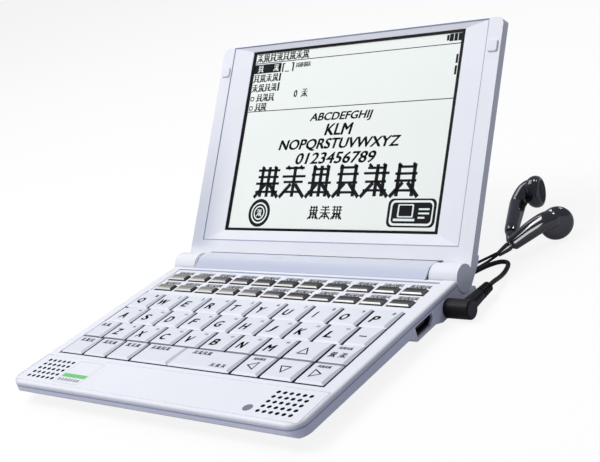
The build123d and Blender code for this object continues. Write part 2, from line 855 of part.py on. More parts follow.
# ---------------------------------------------------------------- lid
def lid_plan():
    """Outline of the lid's plate above the knuckles' cut-out"""
    with BuildSketch(mode=Mode.PRIVATE) as plan:
        wide(half_width, lid_lower_edge, lid_length)
        fillet(plan.vertices().group_by(Axis.Y)[-1], lid_corner_radius)
    add(plan.sketch)


heel = (lid_lower_edge + 0.2, back_w)
heel_reach = sqrt(heel[0] ** 2 + heel[1] ** 2)
heel_turn = atan2(heel[1], heel[0]) - acos(knuckle_radius / heel_reach)
tangent_point = (knuckle_radius * cos(heel_turn), knuckle_radius * sin(heel_turn))


def knuckle_profile():
    """Side view of a knuckle: a round barrel that runs out tangentially into the lid's back and face"""
    Circle(knuckle_radius)
    Polygon(
        (0, 0), tangent_point, heel,
        (lid_lower_edge + 3.2, back_w), (lid_lower_edge + 3.2, face_w), (0, face_w),
        align=None,
    )


def knuckle_bores():
    """Blind holes for the hinge pins"""
    for side in (-half_width + pin_inset - pin_end_gap, knuckle_inner - 1):
        with BuildSketch(lid_section(side), mode=Mode.PRIVATE) as bore:
            Circle(pin_radius + bore_clearance)
        extrude(bore.sketch, amount=knuckle_length + 1 - pin_inset + pin_end_gap, mode=Mode.SUBTRACT)


knuckle_sides = (-half_width, knuckle_inner)

with BuildPart() as lid_bezel:
    for side in knuckle_sides:
        with BuildSketch(lid_section(side)):
            knuckle_profile()
        extrude(amount=knuckle_length)
    split(bisect_by=lid_level(lid_seam_w), keep=Keep.TOP)
    with BuildSketch(lid_level(lid_seam_w)):
        lid_plan()
    extrude(amount=lid_front_thickness)
    # display recess: a fine step, then four faces that slope in to the window
    with BuildSketch(lid_level(face_w)):
        wide(recess_half_width, recess_bottom, recess_top)
    extrude(amount=-recess_step, mode=Mode.SUBTRACT)
    with BuildSketch(lid_level(face_w - recess_step)):
        wide(recess_half_width, recess_bottom, recess_top)
    with BuildSketch(lid_level(window_w)):
        wide(window_half_width, window_bottom, window_top)
    loft(ruled=True, mode=Mode.SUBTRACT)
    with BuildSketch(lid_level(lid_seam_w)):
        wide(window_half_width, window_bottom, window_top)
    extrude(amount=lid_front_thickness, mode=Mode.SUBTRACT)
    knuckle_bores()

lid_bezel.part.label = "lid_bezel"
export_step(lid_bezel.part, "parts/lid_bezel.step")

crown_w = back_w - lid_crown
with BuildPart() as lid_cover:
    # crowned across the width
    with BuildSketch(Plane(origin=hinge_point, x_dir=(1, 0, 0), z_dir=[-c for c in lid_up])) as across:
        with BuildLine():
            ThreePointArc((-half_width, back_w), (0, crown_w), (half_width, back_w))
            Polyline(
                (half_width, back_w), (half_width, lid_seam_w),
                (-half_width, lid_seam_w), (-half_width, back_w),
            )
        make_face()
        fillet(across.vertices().group_by(Axis.Y)[0], lid_back_round)
    extrude(amount=-lid_length)
    # and up its height
    with BuildSketch(lid_section(-half_width)) as along:
        with BuildLine():
            ThreePointArc(
                (lid_lower_edge, back_w), ((lid_lower_edge + lid_length) / 2, crown_w), (lid_length, back_w)
            )
            Polyline(
                (lid_length, back_w), (lid_length, lid_seam_w),
                (lid_lower_edge, lid_seam_w), (lid_lower_edge, back_w),
            )
        make_face()
        fillet(along.vertices().group_by(Axis.Y)[0], lid_back_round)
    extrude(amount=case_width, mode=Mode.INTERSECT)
    with BuildSketch(lid_level(lid_seam_w)):
        lid_plan()
    extrude(amount=crown_w - lid_seam_w - 1, mode=Mode.INTERSECT)
    with BuildSketch(lid_level(lid_seam_w)):
        wide(half_width - case_wall, lid_lower_edge + case_wall, lid_length - case_wall)
    extrude(amount=back_w + lid_back_wall - lid_seam_w, mode=Mode.SUBTRACT)
    # heels that close the backs of the knuckles
    for side in knuckle_sides:
        with BuildSketch(lid_section(side)):
            knuckle_profile()
            span(-2 * knuckle_radius, 2 * lid_lower_edge, lid_seam_w, 2 * knuckle_radius, Mode.SUBTRACT)
        extrude(amount=knuckle_length)

lid_cover.part.label = "lid_cover"
export_step(lid_cover.part, "parts/lid_cover.step")

display_w = lid_seam_w - display_gap
with BuildPart() as lcd_panel:
    with BuildSketch(lid_level(display_w)):
        wide(
            window_half_width + display_margin,
            window_bottom - display_margin, window_top + display_top_margin,
        )
    extrude(amount=-display_thickness)
    with BuildSketch(lid_level(display_w)):
        wide(glass_half_width, glass_bottom, glass_top)
    extrude(amount=-glass_recess, mode=Mode.SUBTRACT)

lcd_panel.part.label = "lcd_panel"
export_step(lcd_panel.part, "parts/lcd_panel.step")

with BuildPart() as lid_bumpers:
    with BuildSketch(lid_level(face_w)):
        with Locations((-bumper_x, bumper_v), (bumper_x, bumper_v)):
            RectangleRounded(bumper_size, bumper_size, 0.9)
    extrude(amount=bumper_height)
    fillet(lid_bumpers.faces().sort_by(Axis(hinge_point, lid_out))[-2:].edges(), 0.3)

lid_bumpers.part.label = "lid_bumpers"
export_step(lid_bumpers.part, "parts/lid_bumpers.step")

# ---------------------------------------------------------------- earphones
relief = (plug_arm_x, plug_relief_end, jack_z)
rib_pitch = (plug_relief_end - plug_arm_end) / rib_count

with BuildPart() as earphone_plug:
    with BuildSketch(section(half_width + plug_face_gap)):
        with Locations((jack_y, jack_z)):
            Circle(plug_body_radius)
    extrude(amount=plug_body_length)
    fillet(earphone_plug.faces().sort_by(Axis.X)[-1].edges(), 0.8)
    with BuildSketch(section(half_width + plug_face_gap)):
        with Locations((jack_y, jack_z)):
            Circle(plug_pin_radius)
    extrude(amount=-plug_pin_length)
    with BuildSketch(Plane(origin=spot(plug_arm_x, jack_y, jack_z), z_dir=(0, 1, 0))):
        Circle(plug_arm_radius)
    with BuildSketch(Plane(origin=spot(plug_arm_x, plug_arm_end, relief[2]), z_dir=(0, 1, 0))):
        Circle(rib_radius)
    loft(ruled=True)
    # ribbed strain relief
    for i in range(rib_count):
        start = plug_arm_end + i * rib_pitch
        with BuildSketch(Plane(origin=spot(plug_arm_x, start, relief[2]), z_dir=(0, 1, 0))):
            Circle(rib_neck_radius)
        extrude(amount=rib_pitch)
        rib_start = spot(plug_arm_x, start + rib_pitch * 0.45, relief[2])
        with BuildSketch(Plane(origin=rib_start, z_dir=(0, 1, 0))):
            Circle(rib_radius - rib_taper * i)
        extrude(amount=rib_pitch * 0.55)

earphone_plug.part.label = "earphone_plug"
export_step(earphone_plug.part, "parts/earphone_plug.step")


def corner_radii(points):
    """Arc radius at each inner point: 0.45 of the shorter run over the tangent of half the turn"""
    radii = []
    for before, here, after in zip(points, points[1:], points[2:]):
        arriving = Vector(*here) - Vector(*before)
        leaving = Vector(*after) - Vector(*here)
        turn = radians(arriving.get_angle(leaving))
        radii.append(0.45 * min(arriving.length, leaving.length) / tan(turn / 2))
    return radii


def lay_tube(points, radius):
    """Sweep a round tube along straight runs joined by tangent arcs"""
    with BuildLine(mode=Mode.PRIVATE) as path:
        FilletPolyline(*points, radius=corner_radii(points))
    start = Plane(origin=points[0], z_dir=Vector(*points[1]) - Vector(*points[0]))
    with BuildSketch(start, mode=Mode.PRIVATE) as profile:
        Circle(radius)
    sweep(profile.sketch, path=path.wires()[0])
    length = path.wires()[0].length
    print(f"tube length {length:.1f}, tightest arc {min(corner_radii(points)):.1f}, radius {radius}")
    return length


floor_cord_z = cord_radius + floor_lift
floor_lead_z = lead_radius + floor_lift
coil_x, coil_y = coil_centre
coil_spread = coil_pitch * coil_turns_per_layer
coil_outer_radius = coil_inner_radius + coil_spread
coil_top_z = floor_cord_z + (coil_layers - 1) * coil_layer_pitch

cord_points = [
    spot(*relief), spot(plug_arm_x, plug_relief_end + 3.6, jack_z),
    spot(80.2, 113.4, 2.9), spot(78.9, 118.4, 1.6), spot(77.6, 124.0, 1.0),
    spot(75.5, 130.0, floor_cord_z), spot(71.2, 130.6, floor_cord_z), spot(67.2, 126.2, floor_cord_z),
    spot(65.2, 121.0, floor_cord_z), spot(61.2, 116.6, floor_cord_z), spot(55.6, 115.6, floor_cord_z),
    spot(50.4, 118.6, floor_cord_z), spot(44.6, 122.8, floor_cord_z), spot(37.6, 126.0, floor_cord_z),
    spot(30.0, 128.6, floor_cord_z), spot(22.0, coil_y - coil_outer_radius, floor_cord_z),
    spot(coil_x, coil_y - coil_outer_radius, floor_cord_z),
]

with BuildPart() as earphone_cord:
    cord_length = lay_tube(cord_points, cord_radius)

earphone_cord.part.label = "earphone_cord"
export_step(earphone_cord.part, "parts/earphone_cord.step")


def coil_point(turn):
    """Centre line of the put-away coil after so many turns, wound clockwise from its front.

    The radius shrinks and grows at a steady rate, turning round in the middle of each climb, and the
    height steps up one layer pitch in the half turn between two layers.
    """
    period = coil_turns_per_layer + 0.5
    layer = min(int(turn / period), coil_layers - 1)
    along = turn - layer * period
    climb = max(0.0, along - coil_turns_per_layer) * 2
    inward = coil_spread - coil_pitch * along
    if climb > 0.5:
        inward = -coil_pitch * (1 - climb) / 2
    if layer == coil_layers - 1:
        climb = 0
    radius = coil_inner_radius + (inward if layer % 2 == 0 else coil_spread - inward)
    angle = -pi / 2 - 2 * pi * turn
    height = floor_cord_z + coil_layer_pitch * (layer + (1 - cos(pi * climb)) / 2)
    return Vector(*spot(coil_x + radius * cos(angle), coil_y + radius * sin(angle), height))


def coil_heading(turn, last):
    """Direction of the centre line, taken across a short step"""
    step = 0.002
    return (coil_point(min(turn + step, last)) - coil_point(max(turn - step, 0))).normalized()


def biarc(start, start_heading, end, end_heading):
    """Two tangent arcs between two points with given headings"""
    chord = end - start
    headings = start_heading + end_heading
    along = chord.dot(headings)
    spread = 2 * (1 - start_heading.dot(end_heading))
    reach = (-along + sqrt(along ** 2 + spread * chord.dot(chord))) / spread
    joint = (start + start_heading * reach + end - end_heading * reach) * 0.5
    TangentArc(start, joint, tangent=start_heading)
    TangentArc(end, joint, tangent=end_heading * -1)


coil_turn_count = coil_layers * coil_turns_per_layer + (coil_layers - 1) * 0.5
quarter_turns = [i / 4 for i in range(int(coil_turn_count * 4) + 1)]

with BuildPart() as cord_coil:
    with BuildLine(mode=Mode.PRIVATE) as winding:
        for start, end in zip(quarter_turns, quarter_turns[1:]):
            start_heading = Vector(-1, 0, 0) if start == 0 else coil_heading(start, coil_turn_count)
            end_heading = Vector(1, 0, 0) if end == coil_turn_count else coil_heading(end, coil_turn_count)
            biarc(coil_point(start), start_heading, coil_point(end), end_heading)
    with BuildSketch(Plane(origin=coil_point(0), z_dir=(-1, 0, 0))):
        Circle(cord_radius)
    coil_wire = winding.wires()[0]
    sweep(path=coil_wire)

cord_coil.part.label = "cord_coil"
export_step(cord_coil.part, "parts/cord_coil.step")

samples_per_turn = 24
coil_samples = [coil_point(i / samples_per_turn) for i in range(int(coil_turn_count * samples_per_turn) + 1)]
least_gap = min(
    (a - b).length for i, a in enumerate(coil_samples) for b in coil_samples[i + samples_per_turn // 2:]
) - 2 * cord_radius
print(f"coil length {coil_wire.length:.1f}, turns {coil_turn_count}, least gap to itself {least_gap:.2f}")

# ear pieces: head centre, direction of the speaker face, the stem's elbow and its seat in the head, and
# where the lead enters the stem
head_z = bud_radius + floor_lift
front_bud = (
    spot(86.25, 152.35, head_z), (-0.69, 0.72, 0), spot(84.6, 149.2, 11.1), spot(86.8, 151.6, 11.3),
    spot(68.4, 134.2, 1.9),
)
rear_bud = (
    spot(61.5, 182.3, head_z), (0.974, 0.23, 0), spot(53.8, 181.8, 5.9), spot(61.2, 182.2, head_z),
    spot(67.2, 145.6, 2.1),
)


def stem_end(bud):
    """The stem's lower end and the direction in which it points"""
    elbow, tip = Vector(*bud[2]), Vector(*bud[4])
    return tip, (tip - elbow).normalized()


def lead_exit(bud):
    """The lead's last two points: straight out of the stem, then its tip"""
    tip, run = stem_end(bud)
    return [tuple(tip + run * lead_straight), tuple(tip)]


# from the coil to the splitter, then one thin lead to each bud
yoke_top = (51.4, 139.0, yoke_radius + floor_lift)
yoke_end = (51.4, yoke_top[1] - yoke_length, yoke_radius + floor_lift)
tail_points = [
    spot(coil_x, coil_y + coil_outer_radius, coil_top_z), spot(20.5, coil_y + coil_outer_radius, coil_top_z),
    spot(28.5, 158.2, 6.0), spot(36.0, 156.0, 3.6),
    spot(43.0, 152.2, 2.3), spot(48.6, 147.2, yoke_top[2]), spot(51.4, 142.6, yoke_top[2]), spot(*yoke_top),
]
front_lead_points = [
    spot(50.7, yoke_end[1], 1.3), spot(50.7, 129.4, 1.1), spot(50.8, 125.4, floor_lead_z),
    spot(52.6, 121.6, floor_lead_z), spot(56.4, 119.6, floor_lead_z), spot(60.6, 120.6, floor_lead_z),
    spot(63.6, 123.8, floor_lead_z), spot(65.2, 128.0, 0.7), *lead_exit(front_bud),
]
rear_lead_points = [
    spot(52.1, yoke_end[1], 1.3), spot(52.1, 129.4, 1.1), spot(53.9, 125.8, floor_lead_z),
    spot(57.2, 124.4, floor_lead_z), spot(60.3, 126.6, floor_lead_z), spot(62.2, 130.6, floor_lead_z),
    spot(64.2, 134.8, floor_lead_z), spot(67.0, 138.8, 1.0), *lead_exit(rear_bud),
]

with BuildPart() as earphone_leads:
    tail_length = lay_tube(tail_points, cord_radius)
    with BuildSketch(Plane(origin=spot(*yoke_top), z_dir=(0, -1, 0))):
        Circle(cord_radius + 0.3)
    with BuildSketch(Plane(origin=spot(yoke_top[0], yoke_top[1] - 2.5, yoke_top[2]), z_dir=(0, -1, 0))):
        Circle(yoke_radius)
    with BuildSketch(Plane(origin=spot(*yoke_end), z_dir=(0, -1, 0))):
        Circle(yoke_radius - 0.1)
    loft(ruled=True)
    front_lead_length = lay_tube(front_lead_points, lead_radius)
    rear_lead_length = lay_tube(rear_lead_points, lead_radius)

earphone_leads.part.label = "earphone_leads"
export_step(earphone_leads.part, "parts/earphone_leads.step")

with BuildPart() as earbuds:
    for bud in (front_bud, rear_bud):
        head = Vector(*bud[0])
        facing = Vector(*bud[1]).normalized()
        # speaker head: a flat-faced dome turned about its own axis
        with BuildSketch(Plane(origin=head, x_dir=facing, z_dir=(0, 0, 1))):
            with BuildLine():
                Polyline((-bud_depth * 0.55, 0), (bud_depth * 0.36, 0), (bud_depth * 0.36, bud_radius * 0.72))
                ThreePointArc(
                    (bud_depth * 0.36, bud_radius * 0.72), (bud_depth * 0.26, bud_radius * 0.93),
                    (bud_depth * 0.08, bud_radius),
                )
                ThreePointArc(
                    (bud_depth * 0.08, bud_radius), (-bud_depth * 0.28, bud_radius * 0.72),
                    (-bud_depth * 0.55, bud_radius * 0.3),
                )
                Line((-bud_depth * 0.55, bud_radius * 0.3), (-bud_depth * 0.55, 0))
            make_face()
        revolve(axis=Axis(head, facing))
        # thick stem out of the head, then a tapering relief down to the lead
        tip, run = stem_end(bud)
        collar = tip - run * bud_relief_length
        lay_tube([tuple(collar), bud[2], bud[3]], bud_stem_radius)
        with BuildSketch(Plane(origin=collar, z_dir=run)):
            Circle(bud_relief_radius)
        with BuildSketch(Plane(origin=tip, z_dir=run)):
            Circle(bud_tip_radius)
        loft(ruled=True)

earbuds.part.label = "earbuds"
export_step(earbuds.part, "parts/earbuds.step")

total_length = cord_length + coil_wire.length + tail_length + front_lead_length
print(f"earphone cord from plug to front bud {total_length:.0f}")
print(f"overall depth {overall_depth:.2f}")
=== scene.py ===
"""Pocket electronic dictionary, dressed for its picture.

Lengths in the functions are millimetres measured from the case's front edge, as in the part's source.
They become metres in the shared frame in `from_front` and `on_lid`.
"""

from math import cos, pi, radians, sin

import bpy
import numpy as np
from mathutils import Matrix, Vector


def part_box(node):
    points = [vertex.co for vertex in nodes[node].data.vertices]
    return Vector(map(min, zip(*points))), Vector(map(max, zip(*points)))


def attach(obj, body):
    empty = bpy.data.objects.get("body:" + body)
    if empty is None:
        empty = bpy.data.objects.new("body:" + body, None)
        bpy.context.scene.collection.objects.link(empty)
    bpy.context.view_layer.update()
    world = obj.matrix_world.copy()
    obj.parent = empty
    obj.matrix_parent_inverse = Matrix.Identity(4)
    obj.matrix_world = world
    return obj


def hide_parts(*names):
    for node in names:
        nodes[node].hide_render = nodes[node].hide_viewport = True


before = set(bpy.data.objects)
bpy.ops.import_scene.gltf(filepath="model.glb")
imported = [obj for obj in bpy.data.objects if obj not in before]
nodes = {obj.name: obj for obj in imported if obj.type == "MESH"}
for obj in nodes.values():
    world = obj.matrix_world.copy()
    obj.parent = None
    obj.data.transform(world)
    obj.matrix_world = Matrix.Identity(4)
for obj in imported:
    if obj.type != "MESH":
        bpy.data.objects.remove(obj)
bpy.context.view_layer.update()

# ---------------------------------------------------------------- places shared with the part
front_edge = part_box("deck_cover")[0][1] * 1000
deck_height, key_top = 10.4, 11.25
skirt_foot = 8.0
well_side, well_front, well_back = 68.3, 22.05, 94.2
panel_front, panel_drop = 74.4, 0.36
function_fronts = (76.0, 84.9)
function_pitch, function_width, function_depth = 12.3, 10.6, 4.0
grille_x, grille_y, grille_pitch, hole_radius = 60.17, 10.88, 2.82, 0.86
hump_front, hump_side = 96.3, 61.05
hinge_y, hinge_z = 102.0, 8.6
open_angle = 128.4
lean = radians(180 - open_angle)
face_out, page_out = -2.85, -4.8
recess_side, recess_low, recess_high = 67.62, 12.08, 101.82
page_side, page_low, page_high = 54.8, 18.2, 98.2
mark_lift = 0.02
key_names = [name for name in nodes if name.startswith("key_") and name != "key_mat"]
third_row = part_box("key_z")[0][1] * 1000 - front_edge


def from_front(points):
    """Millimetres from the front edge (x, y, z) to metres in the frame: y shifts by the front edge's place"""
    return (np.asarray(points, float) + (0, front_edge, 0)) / 1000


def on_lid(points):
    """Millimetres across, up and out of the lid's face to metres: turned by the lid's lean about the hinge"""
    x, up, out = np.moveaxis(np.asarray(points, float), -1, 0)
    y = hinge_y + up * cos(lean) - out * sin(lean)
    z = hinge_z + up * sin(lean) + out * cos(lean)
    return from_front(np.stack([x, y, z], -1))


# ---------------------------------------------------------------- shader maths
class Flow:
    """A node's output that can be used in a Python expression; each operator adds a Math node"""

    def __init__(self, finish, socket):
        self.finish, self.socket = finish, socket

    def maths(self, operation, *values):
        return self.finish.node("ShaderNodeMath", {"operation": operation}, dict(enumerate(values)))

    def __add__(self, other):
        return self.maths("ADD", self, other)

    def __sub__(self, other):
        return self.maths("SUBTRACT", self, other)

    def __rsub__(self, other):
        return self.maths("SUBTRACT", other, self)

    def __mul__(self, other):
        return self.maths("MULTIPLY", self, other)

    def __truediv__(self, other):
        return self.maths("DIVIDE", self, other)

    def __mod__(self, other):
        return self.maths("FLOORED_MODULO", self, other)

    def __gt__(self, other):
        return self.maths("GREATER_THAN", self, other)

    def __lt__(self, other):
        return self.maths("LESS_THAN", self, other)

    def __abs__(self):
        return self.maths("ABSOLUTE", self)

    __radd__, __rmul__ = __add__, __mul__

    def within(self, low, high):
        """1 between two values and 0 outside"""
        return (self > low) * (self < high)

    def fade(self, low, high):
        """Rises smoothly from 0 at low to 1 at high"""
        return self.finish.node(
            "ShaderNodeMapRange", {"interpolation_type": "SMOOTHSTEP"}, {0: self, 1: low, 2: high}
        )


class Finish:
    """A material: one principled surface, with what changes over it fed by nodes"""

    def __init__(self, name, **fixed):
        self.material = bpy.data.materials.new(name)
        self.material.use_nodes = True
        self.tree = self.material.node_tree
        self.surface = self.tree.nodes["Principled BSDF"]
        for socket, value in fixed.items():
            self.surface.inputs[socket.replace("_", " ")].default_value = value

    def feed(self, socket, value):
        """Links a flow to a socket, or sets the socket's own value"""
        if isinstance(value, Flow):
            self.tree.links.new(value.socket, socket)
        else:
            socket.default_value = value

    def node(self, kind, settings, inputs, output=0):
        """Adds a node: its settings come first, then the values or links of its inputs"""
        made = self.tree.nodes.new(kind)
        for key, value in settings.items():
            setattr(made, key, value)
        for key, value in inputs.items():
            self.feed(made.inputs[key], value)
        return Flow(self, made.outputs[output])

    def place(self):
        """The point on the object, in metres"""
        return self.node("ShaderNodeTexCoord", {}, {}, "Object")

    def axes(self):
        """The point's x, y and z as three flows"""
        return [self.node("ShaderNodeSeparateXYZ", {}, {0: self.place()}, axis) for axis in range(3)]

    def facing(self, axis):
        """How far the surface faces along x, y or z, from -1 to 1"""
        normal = self.node("ShaderNodeNewGeometry", {}, {}, "True Normal")
        return self.node("ShaderNodeSeparateXYZ", {}, {0: normal}, axis)

    def noise(self, scale, detail=2.0, stretch=(1, 1, 1)):
        """Noise from 0 to 1 with features about 1/scale metres across"""
        spread = self.node("ShaderNodeMapping", {}, {"Vector": self.place(), "Scale": stretch})
        return self.node("ShaderNodeTexNoise", {}, {"Vector": spread, "Scale": scale, "Detail": detail})

    def mix(self, factor, first, second):
        """Blends two colours"""
        return self.node("ShaderNodeMix", {"data_type": "RGBA"}, {0: factor, 6: first, 7: second}, 2)

    def bump(self, height, depth, strength=1.0):
        """Feeds a height from 0 to 1, with its depth in metres, to the surface's normal"""
        raised = self.node("ShaderNodeBump", {}, {"Height": height, "Distance": depth, "Strength": strength})
        self.feed(self.surface.inputs["Normal"], raised)

    def colour(self, value):
        self.feed(self.surface.inputs["Base Color"], value)

    def roughness(self, value):
        self.feed(self.surface.inputs["Roughness"], value)


def moulded(name, light, shade, roughness, grain=0.00001, grain_scale=3500.0, coat=0.0, shadow=None, **fixed):
    """Moulded plastic: two close tones in soft clouds, a fine moulded grain and uneven gloss.

    shadow gives (mask, colour) pairs of painted shade and painted light for a finish, laid over the tones one
    after the other.
    """
    finish = Finish(name, Coat_Weight=coat, Coat_Roughness=0.12, **fixed)
    clouds = finish.noise(35.0, 3.0)
    tone = finish.mix(clouds.fade(0.35, 0.65), light, shade)
    for mask, colour in shadow(finish) if shadow else ():
        tone = finish.mix(mask, tone, colour)
    finish.colour(tone)
    finish.roughness(roughness + (clouds - 0.5) * 0.08)
    finish.bump(finish.noise(grain_scale, 2.0), grain, 0.5)
    return finish


# painted shade: the colours of crevices and holes, of seams, and of the gaps at the hinge barrels' ends
crevice_shade = (0.03, 0.032, 0.045, 1)
seam_shade = (0.40, 0.43, 0.58, 1)
cheek_shade = (0.12, 0.13, 0.2, 1)


def deck_painted_shade(finish):
    """Painted shade: dark wells, holes and gaps, the seam under the deck, lines at the well's back and the
    hump's foot, and blue-grey over the hump's front
    """
    across, along, up = (axis * 1000 for axis in finish.axes())
    depth = along - front_edge
    side = abs(across)
    panel = depth > panel_front
    dark_below = deck_height - 0.07 - panel * panel_drop
    well_shade = (side < well_side) * depth.within(well_front, well_back) * (up < dark_below)
    edge = (0.0 - across).within(67.9, 68.75) * depth.within(well_front - 0.15, panel_front - 0.2)
    column = ((side - grille_x) / grille_pitch + 10.0) % 1.0 - 0.5
    row = ((depth - grille_y) / grille_pitch + 10.5) % 1.0 - 0.5
    grille_box = (abs(side - grille_x) < 3.0 * grille_pitch) * (abs(depth - grille_y) < 2.5 * grille_pitch)
    holes = grille_box * ((column * column + row * row) < (hole_radius / grille_pitch) ** 2)
    hump_end_shadow = across.within(60.4, 61.5) * (depth > hump_front - 0.3)
    groove_shade = (up < deck_height - 0.1) * (up > deck_height - 0.2) * (depth < 21.0) * (side > 69.0)
    front = (depth > hump_front) * (side < hump_side) * (up > deck_height - 0.05)
    # painted shade over the hump's front, half as strong towards its crest
    hump_front_shade = front * (1.0 - depth.fade(98.0, 102.5) * 0.5)
    foot = (side < well_side + 0.1) * (up > deck_height - 0.4)
    return [
        (hump_front_shade, (0.50, 0.54, 0.66, 1)), (foot * depth.within(94.3, 94.75), seam_shade),
        (foot * depth.within(96.25, 96.6), (0.42, 0.45, 0.58, 1)), (up < 8.7, seam_shade),
        (groove_shade, (0.55, 0.57, 0.64, 1)), (edge, (0.16, 0.17, 0.25, 1)), (well_shade, crevice_shade), (holes, crevice_shade),
        (hump_end_shadow, cheek_shade),
    ]


def rim_seam_shade(finish):
    """Painted shade: a blue-grey band at the seam along the top of the lower case"""
    up = finish.axes()[2] * 1000
    return [(up > 8.12, seam_shade)]


def lid_place(finish):
    """Distance across, up the lid and out of its face, in millimetres"""
    across, along, up = (axis * 1000 for axis in finish.axes())
    depth, height = along - (front_edge + hinge_y), up - hinge_z
    return across, depth * cos(lean) + height * sin(lean), height * cos(lean) - depth * sin(lean)


def bezel_painted_shade(finish):
    """Painted shade: a fine grey line round the display recess, a soft shade low on the left and a dark
    right barrel end
    """
    across, rise, out = lid_place(finish)
    side, line = abs(across), 0.52
    inside = (side < recess_side) * rise.within(recess_low, recess_high)
    core = (side < recess_side - line) * rise.within(recess_low + line, recess_high - line)
    barrel_end_shade = across.within(61.4, 61.75) * (rise < 6.6)
    left_shade = (0.0 - across).fade(55.0, 70.0) * rise.fade(5.0, 12.0) * (1.0 - rise.fade(15.0, 85.0)) * 0.55
    return [
        (left_shade, (0.42, 0.45, 0.55, 1)), (barrel_end_shade, cheek_shade),
        ((inside - core) * out.within(face_out - 0.4, face_out + 0.1), (0.33, 0.365, 0.5, 1)),
    ]


def key_painted_shade(finish):
    """Painted shade: grey right slopes, dark sides between the keys, and the line in front of the third
    letter row
    """
    across, along, up = (axis * 1000 for axis in finish.axes())
    third = (along - front_edge).within(third_row - 0.1, third_row + 0.75)
    return [
        (finish.facing(0).fade(0.1, 0.3) * 0.8, (0.45, 0.48, 0.54, 1)), (up < 10.72, crevice_shade),
        (third * (up < 11.12), (0.14, 0.15, 0.2, 1)),
    ]


def plug_end_highlight(finish):
    """The paler end face of the plug's barrel: a painted highlight"""
    return [(finish.facing(0).fade(0.9, 0.98), (0.05, 0.05, 0.057, 1))]


case_tones = ((0.82, 0.835, 0.865, 1), (0.80, 0.815, 0.85, 1), 0.42)
deck_white = moulded("deck_white", *case_tones, coat=0.08, shadow=deck_painted_shade, Specular_IOR_Level=0.35)
rim_white = moulded(
    "rim_white", (0.80, 0.82, 0.92, 1), (0.785, 0.805, 0.90, 1), 0.36, coat=0.15, shadow=rim_seam_shade
)
bezel_white = moulded("bezel_white", *case_tones, coat=0.0, shadow=bezel_painted_shade, Specular_IOR_Level=0.2)
case_white = moulded("case_white", *case_tones, coat=0.08, Specular_IOR_Level=0.35)
key_white = moulded(
    "key_white", (0.77, 0.79, 0.83, 1), (0.755, 0.775, 0.82, 1), 0.38, coat=0.15, shadow=key_painted_shade
)
rubber_grey = moulded("rubber_grey", (0.16, 0.16, 0.17, 1), (0.13, 0.13, 0.14, 1), 0.8, 0.00003, 2200.0)
feet_rubber = moulded("feet_rubber", (0.22, 0.22, 0.24, 1), (0.18, 0.18, 0.2, 1), 0.75, 0.00003, 1800.0)
bumper_white = moulded("bumper", (0.80, 0.81, 0.84, 1), (0.77, 0.78, 0.81, 1), 0.55, 0.00002, 2600.0)
black_plastic = moulded("black_plastic", (0.012, 0.012, 0.014, 1), (0.018, 0.018, 0.02, 1), 0.45)
plug_charcoal = moulded(
    "plug_charcoal", (0.009, 0.007, 0.008, 1), (0.013, 0.010, 0.012, 1), 0.4, shadow=plug_end_highlight,
    Specular_IOR_Level=0.13,
)
socket_black = moulded("socket_black", (0.012, 0.011, 0.018, 1), (0.02, 0.019, 0.028, 1), 0.5)
ink = moulded("ink", (0.008, 0.009, 0.013, 1), (0.012, 0.013, 0.018, 1), 0.6, Specular_IOR_Level=0.08)
label_ink = moulded(
    "label_ink", (0.02, 0.022, 0.035, 1), (0.03, 0.032, 0.045, 1), 0.6, Specular_IOR_Level=0.1
)
grey_ink = moulded("grey_ink", (0.17, 0.18, 0.21, 1), (0.2, 0.21, 0.24, 1), 0.5)
pale_ink = moulded("pale_ink", (0.52, 0.54, 0.58, 1), (0.5, 0.52, 0.56, 1), 0.5)
badge_green = moulded("badge_green", (0.19, 0.62, 0.2, 1), (0.16, 0.56, 0.18, 1), 0.35, coat=0.3)


def plating_painted_light():
    """Silver-plated plastic with painted light in its colour: painted highlights on the bright front facets,
    brushed tops in painted reflection from taupe to black, and painted shade on the dark right ends and
    at the feet.

    The painted reflection on the tops darkens to the back of each key, and from left to right, sooner in the
    back row.
    """
    finish = Finish("key_metal", Metallic=0.3, Specular_IOR_Level=0.2)
    streaks = finish.noise(900.0, 2.0, (0.15, 6, 6))
    across, along, up = (axis * 1000 for axis in finish.axes())
    sideways, backwards = finish.facing(0), finish.facing(1)
    deep = (along - (front_edge + function_fronts[0])) % (function_fronts[1] - function_fronts[0])
    shifted = across + (along > front_edge + function_fronts[1] - 0.9) * 28.0
    tone = finish.mix(shifted.fade(-35.0, 10.0), (0.29, 0.28, 0.255, 1), (0.010, 0.009, 0.011, 1))
    pale = finish.mix(shifted.fade(-35.0, 20.0), (0.52, 0.505, 0.47, 1), (0.12, 0.115, 0.11, 1))
    top = finish.mix(deep.fade(0.9, 2.6), pale, tone)
    top = finish.mix(streaks * 0.06, top, (0.4, 0.39, 0.37, 1))
    # painted highlight on faces that look forward, painted shade on faces that look right and at the feet
    body = finish.mix((0.0 - backwards).fade(0.2, 0.5), top, (0.82, 0.80, 0.75, 1))
    body = finish.mix(sideways.fade(0.15, 0.45), body, (0.06, 0.06, 0.065, 1))
    finish.colour(finish.mix(up < deck_height + 0.02, body, crevice_shade))
    finish.roughness(0.32 + streaks * 0.12)
    finish.bump(streaks, 0.000004, 0.6)
    return finish


def turned_steel():
    """Bright steel with fine lathe streaks"""
    finish = Finish("steel", Metallic=1.0)
    streaks = finish.noise(1500.0, 2.0, (8, 1, 1))
    finish.colour(finish.mix(streaks, (0.55, 0.55, 0.57, 1), (0.72, 0.72, 0.73, 1)))
    finish.roughness(0.2 + streaks * 0.15)
    finish.bump(streaks, 0.000003, 0.5)
    return finish


def circuit_board():
    """Green lacquered board with faint copper tracks"""
    finish = Finish("board")
    tracks = finish.noise(420.0, 1.0).within(0.49, 0.53)
    finish.colour(finish.mix(tracks, (0.02, 0.13, 0.05, 1), (0.05, 0.22, 0.09, 1)))
    finish.roughness(0.4 + tracks * 0.1)
    finish.bump(tracks, 0.00003)
    return finish


